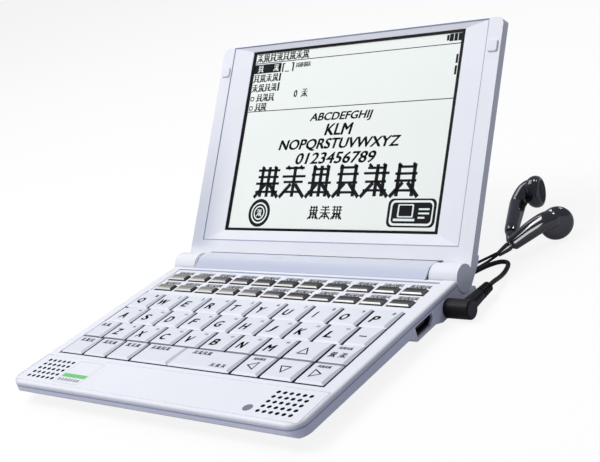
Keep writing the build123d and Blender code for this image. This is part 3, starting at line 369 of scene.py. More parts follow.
def cell_jacket():
    """Printed cell jacket: a plain grey band and a dark one, split across each cell"""
    finish = Finish("battery_jacket")
    across = finish.axes()[0] * 1000
    band = abs(abs(across) - 22.5).fade(8.0, 8.5)
    scuff = finish.noise(600.0, 2.0)
    dark = finish.mix(scuff, (0.05, 0.055, 0.06, 1), (0.07, 0.075, 0.08, 1))
    finish.colour(finish.mix(band, dark, (0.5, 0.52, 0.55, 1)))
    finish.roughness(0.3 + scuff * 0.1)
    finish.bump(scuff, 0.00001, 0.3)
    return finish


def display_page():
    """Pale greenish page with a faint dot grid, inside a black frame.

    The page glows with its own colour: painted light.
    """
    finish = Finish("display", Emission_Strength=0.27, Specular_IOR_Level=0.1)
    across, rise, out = lid_place(finish)
    page = (abs(across) < page_side) * rise.within(page_low, page_high)
    dots = finish.node("ShaderNodeTexChecker", {}, {"Vector": finish.place(), "Scale": 4200.0}, 1)
    clouds = finish.noise(30.0, 2.0)
    pale = finish.mix(clouds, (0.67, 0.705, 0.665, 1), (0.70, 0.735, 0.695, 1))
    lit = finish.mix(dots * 0.03, pale, (0.56, 0.62, 0.58, 1))
    shown = finish.mix(page, (0.003, 0.003, 0.004, 1), lit)
    finish.colour(shown)
    finish.feed(finish.surface.inputs["Emission Color"], shown)
    finish.roughness(0.5 - page * 0.1)
    return finish


def glossy_black(name, roughness, sheen=0.9):
    """Polished black plastic with faint swirl marks in its clear coat"""
    finish = Finish(name, Coat_Weight=sheen, Coat_Roughness=0.05, Coat_IOR=1.9, Specular_IOR_Level=0.3)
    swirl = finish.noise(260.0, 4.0, (1, 1, 3))
    finish.colour(finish.mix(swirl, (0.004, 0.004, 0.005, 1), (0.008, 0.008, 0.010, 1)))
    finish.roughness(roughness + swirl * 0.06)
    finish.bump(swirl, 0.000002, 0.1)
    return finish


def grille_cloth():
    """Dark woven speaker mesh: a fine checker of holes"""
    finish = Finish("grille_cloth", Metallic=0.6)
    weave = finish.node("ShaderNodeTexChecker", {}, {"Vector": finish.place(), "Scale": 3600.0}, 1)
    finish.colour(finish.mix(weave, (0.006, 0.005, 0.006, 1), (0.03, 0.027, 0.03, 1)))
    finish.roughness(0.5 + weave * 0.1)
    finish.bump(weave, 0.00005, 0.7)
    return finish


key_metal = plating_painted_light()
steel = turned_steel()
board = circuit_board()
battery_jacket = cell_jacket()
display = display_page()
bud_black = glossy_black("bud_black", 0.12)
cord_black = glossy_black("cord", 0.35, 0.1)
grille = grille_cloth()

finishes = {
    deck_white: ["deck_cover"],
    rim_white: ["lower_case"],
    bezel_white: ["lid_bezel"],
    case_white: ["battery_door", "lid_cover"],
    key_metal: ["function_keys"],
    rubber_grey: ["key_mat"],
    board: ["main_board"],
    steel: ["case_screws", "hinge_pins"],
    socket_black: ["usb_port"],
    black_plastic: ["headphone_jack", "speakers"],
    battery_jacket: ["batteries"],
    feet_rubber: ["rubber_feet"],
    display: ["lcd_panel"],
    bumper_white: ["lid_bumpers"],
    plug_charcoal: ["earphone_plug"],
    cord_black: ["earphone_cord", "cord_coil", "earphone_leads"],
    bud_black: ["earbuds"],
    key_white: key_names,
}
for finish, names in finishes.items():
    for name in names:
        materials = nodes[name].data.materials
        materials.clear()
        materials.append(finish.material)


# ---------------------------------------------------------------- making pieces
def piece(name, vertices, faces, finish, body, smooth=False):
    """A mesh piece from vertices in metres and a list of faces, riding on a body"""
    mesh = bpy.data.meshes.new(name)
    mesh.from_pydata(np.asarray(vertices).tolist(), [], [list(map(int, face)) for face in faces])
    mesh.shade_smooth() if smooth else mesh.shade_flat()
    mesh.materials.append(finish.material)
    made = bpy.data.objects.new(name, mesh)
    bpy.context.scene.collection.objects.link(made)
    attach(made, body)
    return made


def grid_faces(rows, columns, closed=True):
    """Quads of a grid whose second parameter may close on itself"""
    row, column = np.meshgrid(np.arange(rows - 1), np.arange(columns - (not closed)), indexing="ij")
    after = (column + 1) % columns
    here, next_row = row * columns, (row + 1) * columns
    corners = [here + column, here + after, next_row + after, next_row + column]
    return np.stack(corners, -1).reshape(-1, 4).tolist()


def turned(profile, origin, axis, sides):
    """A profile of (distance, radius) pairs turned about an axis.

    Points are origin + distance axis + radius (cos a across + sin a over).
    """
    axis = np.asarray(axis, float) / np.linalg.norm(axis)
    across = np.cross(axis, (0, 0, 1) if abs(axis[2]) < 0.9 else (1, 0, 0))
    across /= np.linalg.norm(across)
    over = np.cross(axis, across)
    along, radius = np.asarray(profile, float).T
    angle = np.linspace(0, 2 * pi, sides, endpoint=False)
    ring = np.cos(angle)[:, None] * across + np.sin(angle)[:, None] * over
    grid = np.asarray(origin) + along[:, None, None] * axis + radius[:, None, None] * ring
    return grid.reshape(-1, 3), grid_faces(len(along), sides)


def merged(parts):
    """Several (vertices, faces) joined in one list"""
    vertices, faces, start = [], [], 0
    for points, polygons in parts:
        vertices.append(np.asarray(points, float))
        faces += [[start + i for i in polygon] for polygon in polygons]
        start += len(points)
    return np.concatenate(vertices), faces


# ---------------------------------------------------------------- key caps
def lowest(*heights):
    """A softened least of several heights: -r log(sum exp(-h / r)), with r the rounding in millimetres.

    Heights count down from a level above the caps, so that no power runs out of range.
    """
    rounding, above = 0.035, 12
    small = sum(np.exp(-(height - above) / rounding) for height in np.broadcast_arrays(*heights))
    return above - rounding * np.log(small)


def steps(length, near, far):
    """Places along a cap: fine over its two sloping ends, coarse between, and a doubled place at each end"""
    first = np.linspace(0.04, near, 14)[:-1]
    inner = np.arange(near, length - far, 0.9)
    last = np.linspace(length - far, length - 0.04, 20)
    return np.concatenate([[0, 0], first, inner, last, [length, length]])


def cap_faces(u, v, height, x0, y0):
    """A cap as a height grid, its outer ring dropped straight down to the skirt's foot"""
    height[[0, -1], :] = skirt_foot
    height[:, [0, -1]] = skirt_foot
    points = np.stack([u + x0, v + y0, height], -1).reshape(-1, 3)
    return points, [face[::-1] for face in grid_faces(*u.shape, closed=False)]


def letter_cap(x0, x1, y0, y1):
    """A white key: flat top, sloping front and left edges, a thin back edge and a right edge that tapers.

    The right slope is 1.6 wide over the front half and narrows to 0.5 at the back:
    0.5 + 1.1 min(1, 2(1 - v/D)). Past it the side drops steeply, 12 to 1. The front rises from the
    skirt's foot to the shoulder, and then gently to the top.
    """
    width, depth = x1 - x0, y1 - y0
    shoulder, side_wall, front_wall = key_top - 0.5, 0.2, 0.1
    u, v = np.meshgrid(steps(width, 1.4, 1.8), steps(depth, 1.4, 0.6), indexing="ij")
    slope = 0.5 + 1.1 * np.clip(2 - 2 * v / depth, 0, 1)
    right = key_top - np.maximum(0, u - (width - side_wall - slope)) * (key_top - shoulder) / slope
    wall = shoulder - (u - (width - side_wall)) * 12
    rise = (shoulder - skirt_foot) / front_wall
    front = np.where(v < front_wall, skirt_foot + v * rise, shoulder + (v - front_wall) * 0.5)
    left = 9.95 + u * 1.05
    back = 10.8 + (depth - v) * 1.5
    return cap_faces(u, v, lowest(key_top, right, wall, front, left, back), x0, y0)


def plated_cap(x0, y0):
    """A plated key: short front wall, sloping front facet, top falling gently to the back, sloping ends"""
    front_wall, facet_foot = 0.15, 10.45
    across, along = steps(function_width, 1.4, 1.4), steps(function_depth, 1.2, 0.5)
    u, v = np.meshgrid(across, along, indexing="ij")
    front = np.where(v < front_wall, skirt_foot + v * 16.3, facet_foot + (v - front_wall))
    back = 10.97 - np.maximum(0, v - 0.65) * 0.03
    ends = 10.0 + np.minimum(u, function_width - u) * 0.85
    return cap_faces(u, v, lowest(front, back, ends), x0, y0)


def key_sides(name):
    """A key's left, right, front and back, in millimetres from the front edge"""
    low, high = (np.array(corner) * 1000 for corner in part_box(name))
    return low[0], high[0], low[1] - front_edge, high[1] - front_edge


for name in key_names:
    points, faces = letter_cap(*key_sides(name))
    cap = piece(name + "_cap", from_front(points), faces, key_white, name, True)
    cap.data.set_sharp_from_angle(angle=radians(40))
    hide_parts(name)

function_xs = function_pitch * (np.arange(11) - 5)
caps = [plated_cap(x - function_width / 2, y) for y in function_fronts for x in function_xs]
points, faces = merged(caps)
plated = piece(
    "function_keys_plated", from_front(points), faces, key_metal, "function_keys", True
)
plated.data.set_sharp_from_angle(angle=radians(20))
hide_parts("function_keys")


# ---------------------------------------------------------------- printed marks
def glyphs(text, lean_over=0.0):
    """Letters as a flat mesh from Blender's own plain font: (vertices in font units, faces)"""
    curve = bpy.data.curves.new("letters", "FONT")
    curve.body, curve.shear, curve.resolution_u = text, lean_over, 3
    holder = bpy.data.objects.new("letters", curve)
    bpy.context.scene.collection.objects.link(holder)
    bpy.context.view_layer.update()
    mesh = bpy.data.meshes.new_from_object(holder.evaluated_get(bpy.context.evaluated_depsgraph_get()))
    points = np.zeros(len(mesh.vertices) * 3)
    mesh.vertices.foreach_get("co", points)
    faces = [list(polygon.vertices) for polygon in mesh.polygons]
    bpy.data.objects.remove(holder)
    bpy.data.curves.remove(curve)
    bpy.data.meshes.remove(mesh)
    return points.reshape(-1, 3)[:, :2], faces


def word(text, x, y, width, height, lean_over=0.0, bold=0.0):
    """Letters stretched to a box centred on (x, y), and laid down again a little aside to make them bold"""
    points, faces = glyphs(text, lean_over)
    low, high = points.min(0), points.max(0)
    scale = np.array([width, height]) / (high - low)
    laid_down = (points - (low + high) / 2) * scale + (x, y)
    shifts = [(0, 0)] + [(bold, bold / 2), (-bold, -bold / 2), (bold / 2, -bold / 2)] * (bold > 0)
    return merged([(laid_down + shift, faces) for shift in shifts])


def bars(boxes):
    """Rectangles from rows of (left, right, bottom, top)"""
    left, right, bottom, top = np.asarray(boxes, float).T
    pairs = (left, bottom), (right, bottom), (right, top), (left, top)
    corners = np.stack([np.stack(pair, -1) for pair in pairs], 1)
    return corners.reshape(-1, 2), np.arange(len(boxes) * 4).reshape(-1, 4).tolist()


def strokes(lines, thickness):
    """Straight strokes (x0, y0, x1, y1): each widened by half its thickness to either side"""
    rows = np.asarray(lines, float)
    start, end = rows[:, :2], rows[:, 2:4]
    run = end - start
    side = np.stack([-run[:, 1], run[:, 0]], -1) / np.linalg.norm(run, axis=1)[:, None] * thickness / 2
    corners = np.stack([start - side, end - side, end + side, start + side], 1)
    return corners.reshape(-1, 2), np.arange(len(rows) * 4).reshape(-1, 4).tolist()


def outline(points, thickness):
    """A closed line along a polygon: the corner points and the same points drawn in towards the middle"""
    outer = np.asarray(points, float)
    middle = outer.mean(0)
    reach = np.linalg.norm(outer - middle, axis=1)[:, None]
    inner = middle + (outer - middle) * (1 - thickness / reach)
    count = len(outer)
    index = np.arange(count)
    after = (index + 1) % count
    faces = np.stack([index, after, after + count, index + count], -1)
    return np.concatenate([outer, inner]), faces.tolist()


def disc(x, y, radius, sides=48):
    """A round face: one polygon of equal steps"""
    angle = np.linspace(0, 2 * pi, sides, endpoint=False)
    return np.stack([x + radius * np.cos(angle), y + radius * np.sin(angle)], -1), [list(range(sides))]


def printed(name, marks, lay, height, finish, body):
    """Flat marks laid on a surface: lay turns (x, y, height) into the frame"""
    points, faces = merged(marks)
    raised = np.concatenate([points, np.full((len(points), 1), height)], 1)
    return piece(name, lay(raised), faces, finish, body)


def greeked(x0, x1, y0, y1, count, seed):
    """A row of small generic blocks of uneven width, each three short bars and a thin post"""
    rng = np.random.default_rng(seed)
    edges = np.linspace(x0, x1, count + 1)
    block, step, half_post = (x1 - x0) / count, (y1 - y0) / 3, 0.1
    left = edges[:-1] + block * 0.08
    right = edges[1:] - block * rng.uniform(0.12, 0.3, count)
    middle = (left + right) / 2

    def band(start, end, low, high):
        return np.stack([start, end, np.full(count, low), np.full(count, high)], -1)

    rows = [band(left, right, y, y + step * 0.62) for y in (y0, y0 + step, y0 + 2 * step)]
    return bars(np.concatenate(rows + [band(middle - half_post, middle + half_post, y0, y1)]))


def stroke_block(x, y, size, seed):
    """A made-up block of upright, level and slanting strokes that stands for one sign.

    Strokes are written in shares of the block's size from its middle. The seed moves the level ones and
    picks the upright ones.
    """
    rng = np.random.default_rng(seed)
    levels = np.array([-0.3, -0.02, 0.2, 0.41]) + rng.uniform(-0.03, 0.03, 4)
    halves = rng.uniform(0.6, 0.98, 4) / 2
    rows = [(-half, level, half, level) for level, half in zip(levels, halves)]
    posts = [(place, -0.45, place, 0.49) for place in (-0.25, 0.02, 0.27)]
    legs = [(-0.08, -0.05, -0.48, -0.47), (0.08, -0.05, 0.48, -0.47)]
    ticks = [(place, 0.5, place + 0.12, 0.4) for place in (-0.3, 0.2)]
    picked = posts[seed % 3 % 2 :: 1 + seed % 2]
    return [
        strokes(np.array(lines) * size + (x, y, x, y), size * thickness)
        for lines, thickness in ((rows, 0.075), (picked, 0.125), (legs, 0.12), (ticks, 0.09))
    ]


def signs(x0, x1, y, size, count, seed):
    """A row of small made-up signs with even spacing"""
    places = np.linspace(x0 + size / 2, x1 - size / 2, count)
    return [part for i, x in enumerate(places) for part in stroke_block(x, y, size, seed + i)]


def sign_row(x0, x1, y0, y1, seed):
    """A row of made-up signs, as many as fit between x0 and x1: round((x1 - x0) / (1.08 size))"""
    size = (y1 - y0) * 1.15
    return signs(x0, x1, (y0 + y1) / 2, size, round((x1 - x0) / (size * 1.08)), seed)


digits = dict(zip("qwertyuiop", "1234567890"))
letter_widths = {"i": 0.5, "m": 3.9, "w": 4.3}
arrow_turns = {"up": 0, "left": 1, "down": 2, "right": 3}


def letter_marks(label, x0, x1, y0, y1):
    """A slanting capital, and a digit or a small block at the back right corner"""
    capital = word(label.upper(), x0 + 4.9, y0 + 5.3, letter_widths.get(label, 3.2), 4.2, 0.12, bold=0.21)
    if label in digits:
        return [capital], [word(digits[label], x1 - 2.9, y1 - 2.3, 1.0, 1.6, bold=0.08)]
    return [capital], [greeked(x1 - 4.1, x1 - 2.3, y1 - 2.8, y1 - 1.7, 2, ord(label))]


def arrow_marks(label, x0, x1, y0, y1):
    """An open triangle turned to the arrow's way, with small signs behind the two sideways ones"""
    turn, middle = arrow_turns[label] * pi / 2, (x0 + x1) / 2
    triangle = np.array([(-2.6, -2.1), (2.6, -2.1), (0, 2.3)])
    spun = triangle @ np.array([(cos(turn), sin(turn)), (-sin(turn), cos(turn))])
    arrow = [outline(spun + (middle - 0.6, (y0 + y1) / 2 - 0.2), 0.95)]
    sideways = label in ("left", "right")
    return arrow, sign_row(middle - 3.2, middle + 2.6, y1 - 2.6, y1 - 1.3, len(label)) if sideways else []


def word_marks(label, x0, x1, y0, y1):
    """Made-up signs on a control key, in one row or two"""
    middle, centre = (x0 + x1) / 2, (y0 + y1) / 2
    if label == "enter":
        behind = sign_row(x0 + 6.0, x0 + 15.5, y1 - 3.2, y1 - 1.3, 3)
        return behind + sign_row(x1 - 11.5, x1 - 4.0, y0 + 2.4, y0 + 4.2, 5)
    if label == "back":
        return sign_row(x0 + 3.5, x0 + 13.5, y1 - 3.3, y1 - 1.3, 7)
    if label == "symbols":
        behind = sign_row(middle - 3.0, middle + 3.0, y1 - 2.8, y1 - 1.5, 9)
        return behind + sign_row(x0 + 2.6, x0 + 10.2, centre - 2.0, centre + 0.8, 12)
    if label == "shift":
        return sign_row(x0 + 2.6, x0 + 7.6, y1 - 3.8, y1 - 1.8, 13)
    return sign_row(x0 + 3.0, x0 + 10.6, y1 - 3.5, y1 - 1.5, ord(label[0]))


def key_marks(label, x0, x1, y0, y1):
    """A key's large black marks and its small ones"""
    if len(label) == 1:
        return letter_marks(label, x0, x1, y0, y1)
    if label in arrow_turns:
        return arrow_marks(label, x0, x1, y0, y1)
    if label == "dash":
        middle, centre = (x0 + x1) / 2, (y0 + y1) / 2
        return [bars([(middle - 1.6, middle + 1.6, centre - 0.3, centre + 0.3)])], []
    return [], word_marks(label, x0, x1, y0, y1)


for name in key_names:
    label = name.removeprefix("key_")
    marks, small = key_marks(label, *key_sides(name))
    if marks:
        printed(name + "_letter", marks, from_front, key_top + mark_lift, ink, name)
    if small:
        small_ink = grey_ink if len(label) == 1 else label_ink
        printed(name + "_marks", small, from_front, key_top + mark_lift, small_ink, name)

# a plain ring closes the gap at the left end of the hump
ring = [(0.02, 2.4), (0.02, 4.9), (0.1, 5.0), (0.4, 5.0), (0.46, 4.9), (0.46, 2.4)]
points, faces = turned(ring, (-61.5, hinge_y, hinge_z), (1, 0, 0), 64)
piece("hinge_ring", from_front(points), faces, case_white, "base", True)

# labels behind the function keys, on the sunk panel
labels = [
    part for row, front in enumerate(function_fronts) for i, x in enumerate(function_xs)
    for part in signs(x - 4.4, x + 5.0, front + 6.5, 2.2, 5, i + 20 * row)
]
panel_height = deck_height - panel_drop + 0.03
printed("function_labels", labels, from_front, panel_height, label_ink, "base")

# front plate: a thin square line round a plain green bar and a row of blocks, and a plain dot
plate = [(-50.4, 3.4), (-36.0, 3.4), (-36.0, 18.2), (-50.4, 18.2)]
for name, marks, finish in (
    ("badge_marks", greeked(-50.0, -37.4, 5.0, 6.7, 7, 51), grey_ink),
    ("badge_bar", bars([(-50.0, -36.6, 7.5, 9.75)]), badge_green),
    ("badge_line", outline(plate, 0.25), pale_ink),
    ("front_dot", disc(48.1, 6.0, 1.9), grey_ink),
):
    printed(name, [marks], from_front, deck_height + mark_lift, finish, "base")


# ---------------------------------------------------------------- the page on the display
def rounded_box(x0, x1, y0, y1, radius):
    """Corner arcs of a rounded rectangle, in order round it: each is centre + radius (cos a, sin a)"""
    left, right, bottom, top = x0 + radius, x1 - radius, y0 + radius, y1 - radius
    angle = np.linspace(0, pi / 2, 6) + np.arange(4)[:, None] * pi / 2
    centres = np.array([(right, top), (left, top), (left, bottom), (right, bottom)])
    return (centres[:, None] + radius * np.stack([np.cos(angle), np.sin(angle)], -1)).reshape(-1, 2)


def filled(points):
    """One polygon from its corner points"""
    return points, [list(range(len(points)))]


page_ink = [
    bars([(-page_side, page_side, 93.6, 93.95), (-page_side, page_side, 71.05, 71.4)]),
    bars([(-page_side, -38.9, 89.0, 93.2)]),
    *signs(-54.3, -23.5, 96.1, 3.9, 8, 31),
    bars([(-38.2, -37.4, 88.8, 92.9), (-32.2, -31.4, 88.8, 92.9)]),
    bars([(-38.2, -36.7, 92.4, 92.9), (-32.9, -31.4, 92.4, 92.9), (-36.4, -34.0, 88.8, 89.2)]),
    *signs(-30.4, -21.6, 91.4, 2.2, 5, 33),
    bars([(-39.2, -38.2, 84.8, 88.5), (-39.2, -38.2, 80.3, 84.1)]),
    bars([(53.3, 54.3, 85.6, 89.3), (53.3, 54.3, 80.9, 84.6)]),
    *signs(-54.6, -39.6, 86.6, 3.7, 4, 35),
    *signs(-54.6, -39.6, 82.1, 3.7, 4, 37),
    *signs(-51.0, -40.2, 77.5, 3.7, 3, 39),
    *signs(-51.0, -43.9, 73.2, 3.7, 2, 41),
    outline(rounded_box(-54.4, -52.2, 76.2, 78.2, 0.6), 0.45),
    outline(rounded_box(-54.4, -52.2, 71.9, 73.9, 0.6), 0.45),
    word("0", -27.9, 78.3, 1.7, 3.1, bold=0.15),
    *signs(-24.7, -20.9, 78.3, 3.8, 1, 43),
    word("ABCDEFGHIJ", -0.5, 66.5, 33.4, 4.4, 0.2, bold=0.2),
    word("KLM", -0.5, 61.2, 14.6, 4.9, 0.2, bold=0.26),
    word("NOPQRSTUVWXYZ", -0.1, 54.7, 64.6, 5.2, 0.2, bold=0.26),
    word("0123456789", -0.3, 48.8, 42.4, 4.8, 0.2, bold=0.24),
    *signs(-42.9, 44.5, 38.5, 14.2, 6, 0),
    *signs(-10.2, 8.1, 25.2, 5.8, 3, 12),
    outline(disc(-37.9, 25.0, 6.2)[0], 1.5),
    disc(-37.9, 25.0, 4.0),
    outline(rounded_box(30.9, 53.9, 19.6, 31.2, 2.4), 1.3),
    filled(rounded_box(33.0, 52.0, 21.2, 29.6, 1.6)),
    bars([(47.7, 48.8, 95.3, 97.6), (49.0, 50.9, 94.9, 98.0), (51.2, 52.8, 94.9, 98.0)]),
    bars([(53.1, page_side, 94.9, 98.0)]),
]
printed("page_ink", page_ink, on_lid, page_out + mark_lift, ink, "lid")
# the pale marks on the page glow with their own colour too: painted light
page_pale = Finish("page_pale", Emission_Strength=0.2, Specular_IOR_Level=0.1)
page_pale.colour(page_pale.mix(page_pale.noise(300.0), (0.66, 0.72, 0.67, 1), (0.69, 0.75, 0.70, 1)))
page_pale.feed(page_pale.surface.inputs["Emission Color"], (0.68, 0.74, 0.69, 1))
page_light = [
    outline(rounded_box(35.8, 43.4, 23.6, 28.9, 0.5), 0.8),
    bars([(34.2, 44.4, 22.1, 23.1), (45.8, 50.9, 26.6, 27.3)]),
    bars([(45.8, 50.9, 24.9, 25.6), (45.8, 49.0, 23.2, 23.9)]),
    *signs(-52.6, -40.2, 91.1, 3.2, 2, 45),
    outline(disc(-37.9, 25.0, 3.1)[0], 0.6),
    *signs(-39.5, -36.3, 25.0, 3.2, 1, 4),
]
printed("page_light", page_light, on_lid, page_out + 2 * mark_lift, page_pale, "lid")


# ---------------------------------------------------------------- earphone cord and leads
def laid(name, points, radius, body="base"):
    """A round cord as a NURBS curve along the route's control points, in millimetres from the front"""
    curve = bpy.data.curves.new(name, "CURVE")
    curve.dimensions = "3D"
    spline = curve.splines.new("NURBS")
    spline.points.add(len(points) - 1)
    route = np.concatenate([from_front(points), np.ones((len(points), 1))], 1)
    spline.points.foreach_set("co", route.ravel())
    spline.order_u = 3
    spline.use_endpoint_u = True
    spline.resolution_u = 6
    curve.bevel_depth = radius / 1000
    curve.bevel_resolution = 3
    curve.use_fill_caps = True
    curve.materials.append(cord_black.material)
    made = bpy.data.objects.new(name, curve)
    bpy.context.scene.collection.objects.link(made)
    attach(made, body)
    return made


floor_z = 0.95
cord_route = [
    (80.9, 105.0, 3.95), (80.9, 108.6, 3.95), (80.2, 113.4, 2.9), (78.9, 118.4, 1.6), (77.6, 124.0, 1.0),
    (75.5, 130.0, floor_z), (71.2, 130.6, floor_z), (67.2, 126.2, floor_z), (65.2, 121.0, floor_z),
    (61.2, 116.6, floor_z), (55.6, 115.6, floor_z), (50.4, 118.6, floor_z), (44.6, 122.8, floor_z),
    (37.6, 126.0, floor_z), (30.0, 128.6, floor_z), (22.0, 129.55, floor_z),
]
coil_centre, coil_inner, coil_pitch, coil_turns, coil_layers = (14.0, 144.0), 6.4, 2.3, 3.5, 4
points_per_turn = 16


def coil_route():
    """The put-away coil, wound clockwise from its front.

    Radius = inner + pitch times the turns left in the layer on odd layers, and times the turns made on
    even ones. It turns round in the middle of the half turn between layers, where the height rises by
    half a cosine wave. The curve cuts the corners between its points, so they lie a little further out.
    """
    last = coil_layers * coil_turns + (coil_layers - 1) * 0.5
    turn = np.arange(int(last * points_per_turn) + 1) / points_per_turn
    period = coil_turns + 0.5
    layer = np.minimum((turn / period).astype(int), coil_layers - 1)
    along = turn - layer * period
    climb = np.where(layer == coil_layers - 1, 0, np.maximum(0, along - coil_turns) * 2)
    spread = coil_pitch * coil_turns
    inward = np.where(climb > 0.5, -coil_pitch * (1 - climb) / 2, spread - coil_pitch * along)
    corner_cut = 1.008
    radius = (coil_inner + np.where(layer % 2 == 0, inward, spread - inward)) * corner_cut
    angle = -pi / 2 - 2 * pi * turn
    height = floor_z + coil_pitch * (layer + (1 - np.cos(pi * climb)) / 2)
    x, y = coil_centre[0] + radius * np.cos(angle), coil_centre[1] + radius * np.sin(angle)
    return np.stack([x, y, height], -1)


tail_route = [
    (20.5, 158.45, 7.85), (28.5, 158.2, 6.0), (36.0, 156.0, 3.6), (43.0, 152.2, 2.3), (48.6, 147.2, 1.95),
    (51.4, 142.6, 1.95), (51.4, 139.0, 1.95),
]
front_lead_route = [
    (50.7, 132.0, 1.3), (50.7, 129.4, 1.1), (50.8, 125.4, 0.6), (52.6, 121.6, 0.6), (56.4, 119.6, 0.6),
    (60.6, 120.6, 0.6), (63.6, 123.8, 0.6), (65.2, 128.0, 0.7),
]
rear_lead_route = [
    (52.1, 132.0, 1.3), (52.1, 129.4, 1.1), (53.9, 125.8, 0.6), (57.2, 124.4, 0.6), (60.3, 126.6, 0.6),
    (62.2, 130.6, 0.6), (64.2, 134.8, 0.6), (67.0, 138.8, 1.0),
]
front_bud = dict(
    centre=(85.9, 152.35, 6.95), facing=(-0.69, 0.72, 0), dome=2.7, elbow=(84.6, 149.2, 11.1),
    tip=(68.4, 134.2, 1.9), root=(85.6, 152.0, 8.6), bow=(84.4, 149.2, 10.9),
)
rear_bud = dict(
    centre=(61.5, 182.3, 6.95), facing=(0.974, 0.23, 0), dome=4.3, elbow=(53.8, 181.8, 5.9),
    tip=(67.2, 145.6, 2.1), root=(60.8, 182.2, 9.0), bow=(56.9, 182.0, 9.2),
)
bud_radius, relief_length = 6.75, 6.5


def stem_end(bud):
    """The stem's lower end and the direction in which it points"""
    tip = np.asarray(bud["tip"], float)
    run = tip - np.asarray(bud["elbow"], float)
    return tip, run / np.linalg.norm(run)


def lead_end(bud):
    """The last two points of a lead: straight into the stem's tip"""
    tip, run = stem_end(bud)
    return [tuple(tip + run * 3), tuple(tip)]


cord_radius, lead_radius = 0.9, 0.55
main_cord = laid("main_cord", np.concatenate([cord_route, coil_route(), tail_route]), cord_radius)
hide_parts("earphone_cord", "cord_coil", "earphone_leads")
front_lead = laid("front_lead", front_lead_route + lead_end(front_bud), lead_radius)
rear_lead = laid("rear_lead", rear_lead_route + lead_end(rear_bud), lead_radius)

# splitter: a small round-shouldered sleeve where the cord becomes two leads
sleeve = [
    (0, 0.02), (0, 1.0), (0.15, 1.25), (1.2, 1.6), (2.5, 1.88), (4.5, 1.9), (6.6, 1.82), (6.95, 1.6),
    (7.0, 1.2), (7.0, 0.02),
]
points, faces = turned(sleeve, tail_route[-1], (0, -1, 0), 32)
splitter = piece("cord_splitter", from_front(points), faces, bud_black, "base", True)


# ---------------------------------------------------------------- ear pieces
def swept(path, radii, sides):
    """A round tube with flat ends: at each point of a path, a ring square to the run, with its own radius.

    Rings are point + radius (cos a side + sin a over). The side is level, so the path may bend but not
    stand upright.
    """
    path, radii = np.asarray(path, float), np.asarray(radii, float)
    run = np.gradient(path, axis=0)
    run /= np.linalg.norm(run, axis=1)[:, None]
    side = np.cross(run, (0, 0, 1))
    side /= np.linalg.norm(side, axis=1)[:, None]
    over = np.cross(side, run)
    angle = np.linspace(0, 2 * pi, sides, endpoint=False)
    ring = np.cos(angle)[None, :, None] * side[:, None] + np.sin(angle)[None, :, None] * over[:, None]
    grid = (path[:, None] + ring * radii[:, None, None]).reshape(-1, 3)
    faces = [face[::-1] for face in grid_faces(len(path), sides)]
    return grid, faces + [list(range(sides)), list(range(len(grid) - 1, len(grid) - 1 - sides, -1))]


def bend(start, corner, end, count):
    """Points of a quadratic curve: (1-t)^2 start + 2t(1-t) corner + t^2 end"""
    start, corner, end = (np.asarray(point, float) for point in (start, corner, end))
    t = np.linspace(0, 1, count)[:, None]
    return (1 - t) ** 2 * start + 2 * t * (1 - t) * corner + t ** 2 * end


def bud_head(bud):
    """A head turned about its own axis: a back with a quarter-ellipse section, then a stepped rim"""
    angle = np.linspace(0, pi / 2, 16)[::-1]
    back = np.stack([-bud["dome"] * np.sin(angle), bud_radius * (0.3 + 0.7 * np.cos(angle))], -1)
    rim = bud_radius * np.array([
        (0.03, 1.0), (0.09, 0.995), (0.13, 0.985), (0.15, 0.955), (0.18, 0.945), (0.21, 0.955), (0.26, 0.93),
        (0.33, 0.86), (0.37, 0.78), (0.385, 0.72),
    ])
    pole = [(-bud["dome"], 0.01)]
    return turned(np.concatenate([pole, back, rim]), bud["centre"], bud["facing"], 72)


def bud_stem(bud, run, collar):
    """A stem swept from inside the head, round its bow and straight on to the collar"""
    bow_end = np.asarray(bud["elbow"]) + run * 9.0
    straight = bend(bow_end, (bow_end + collar) / 2, collar, 12)[1:]
    path = np.concatenate([bend(bud["root"], bud["bow"], bow_end, 16), straight])
    places, widths = [0, 3, 8, 14, 20, 25, 26], [3.2, 3.7, 3.75, 3.5, 3.15, 2.85, 2.3]
    return swept(path, np.interp(np.arange(len(path)), places, widths), 32)


def ear_piece(name, bud):
    """Head, stem and a tapering ribbed relief as one piece, and the mesh over the head's front as another"""
    tip, run = stem_end(bud)
    collar = tip - run * relief_length
    relief = [
        (-0.1, 0.01), (-0.1, 1.9), (0.35, 1.95), (0.5, 1.62), (0.9, 1.6), (1.1, 1.85), (2.6, 1.7),
        (4.8, 1.35), (6.2, 1.1), (relief_length, 0.95), (relief_length, 0.01),
    ]
    points, faces = merged([bud_head(bud), bud_stem(bud, run, collar), turned(relief, collar, run, 32)])
    made = piece(name, from_front(points), faces, bud_black, "base", True)
    made.data.set_sharp_from_angle(angle=radians(50))
    mesh_front = bud_radius * np.array([(0.385, 0.72), (0.37, 0.69), (0.385, 0.4), (0.395, 0.002)])
    points, faces = turned(mesh_front, bud["centre"], bud["facing"], 48)
    cloth = piece(name + "_grille", from_front(points), faces, grille, "base", True)
    return made, cloth


front_piece, front_grille = ear_piece("front_ear_piece", front_bud)
rear_piece, rear_grille = ear_piece("rear_ear_piece", rear_bud)
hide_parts("earbuds")


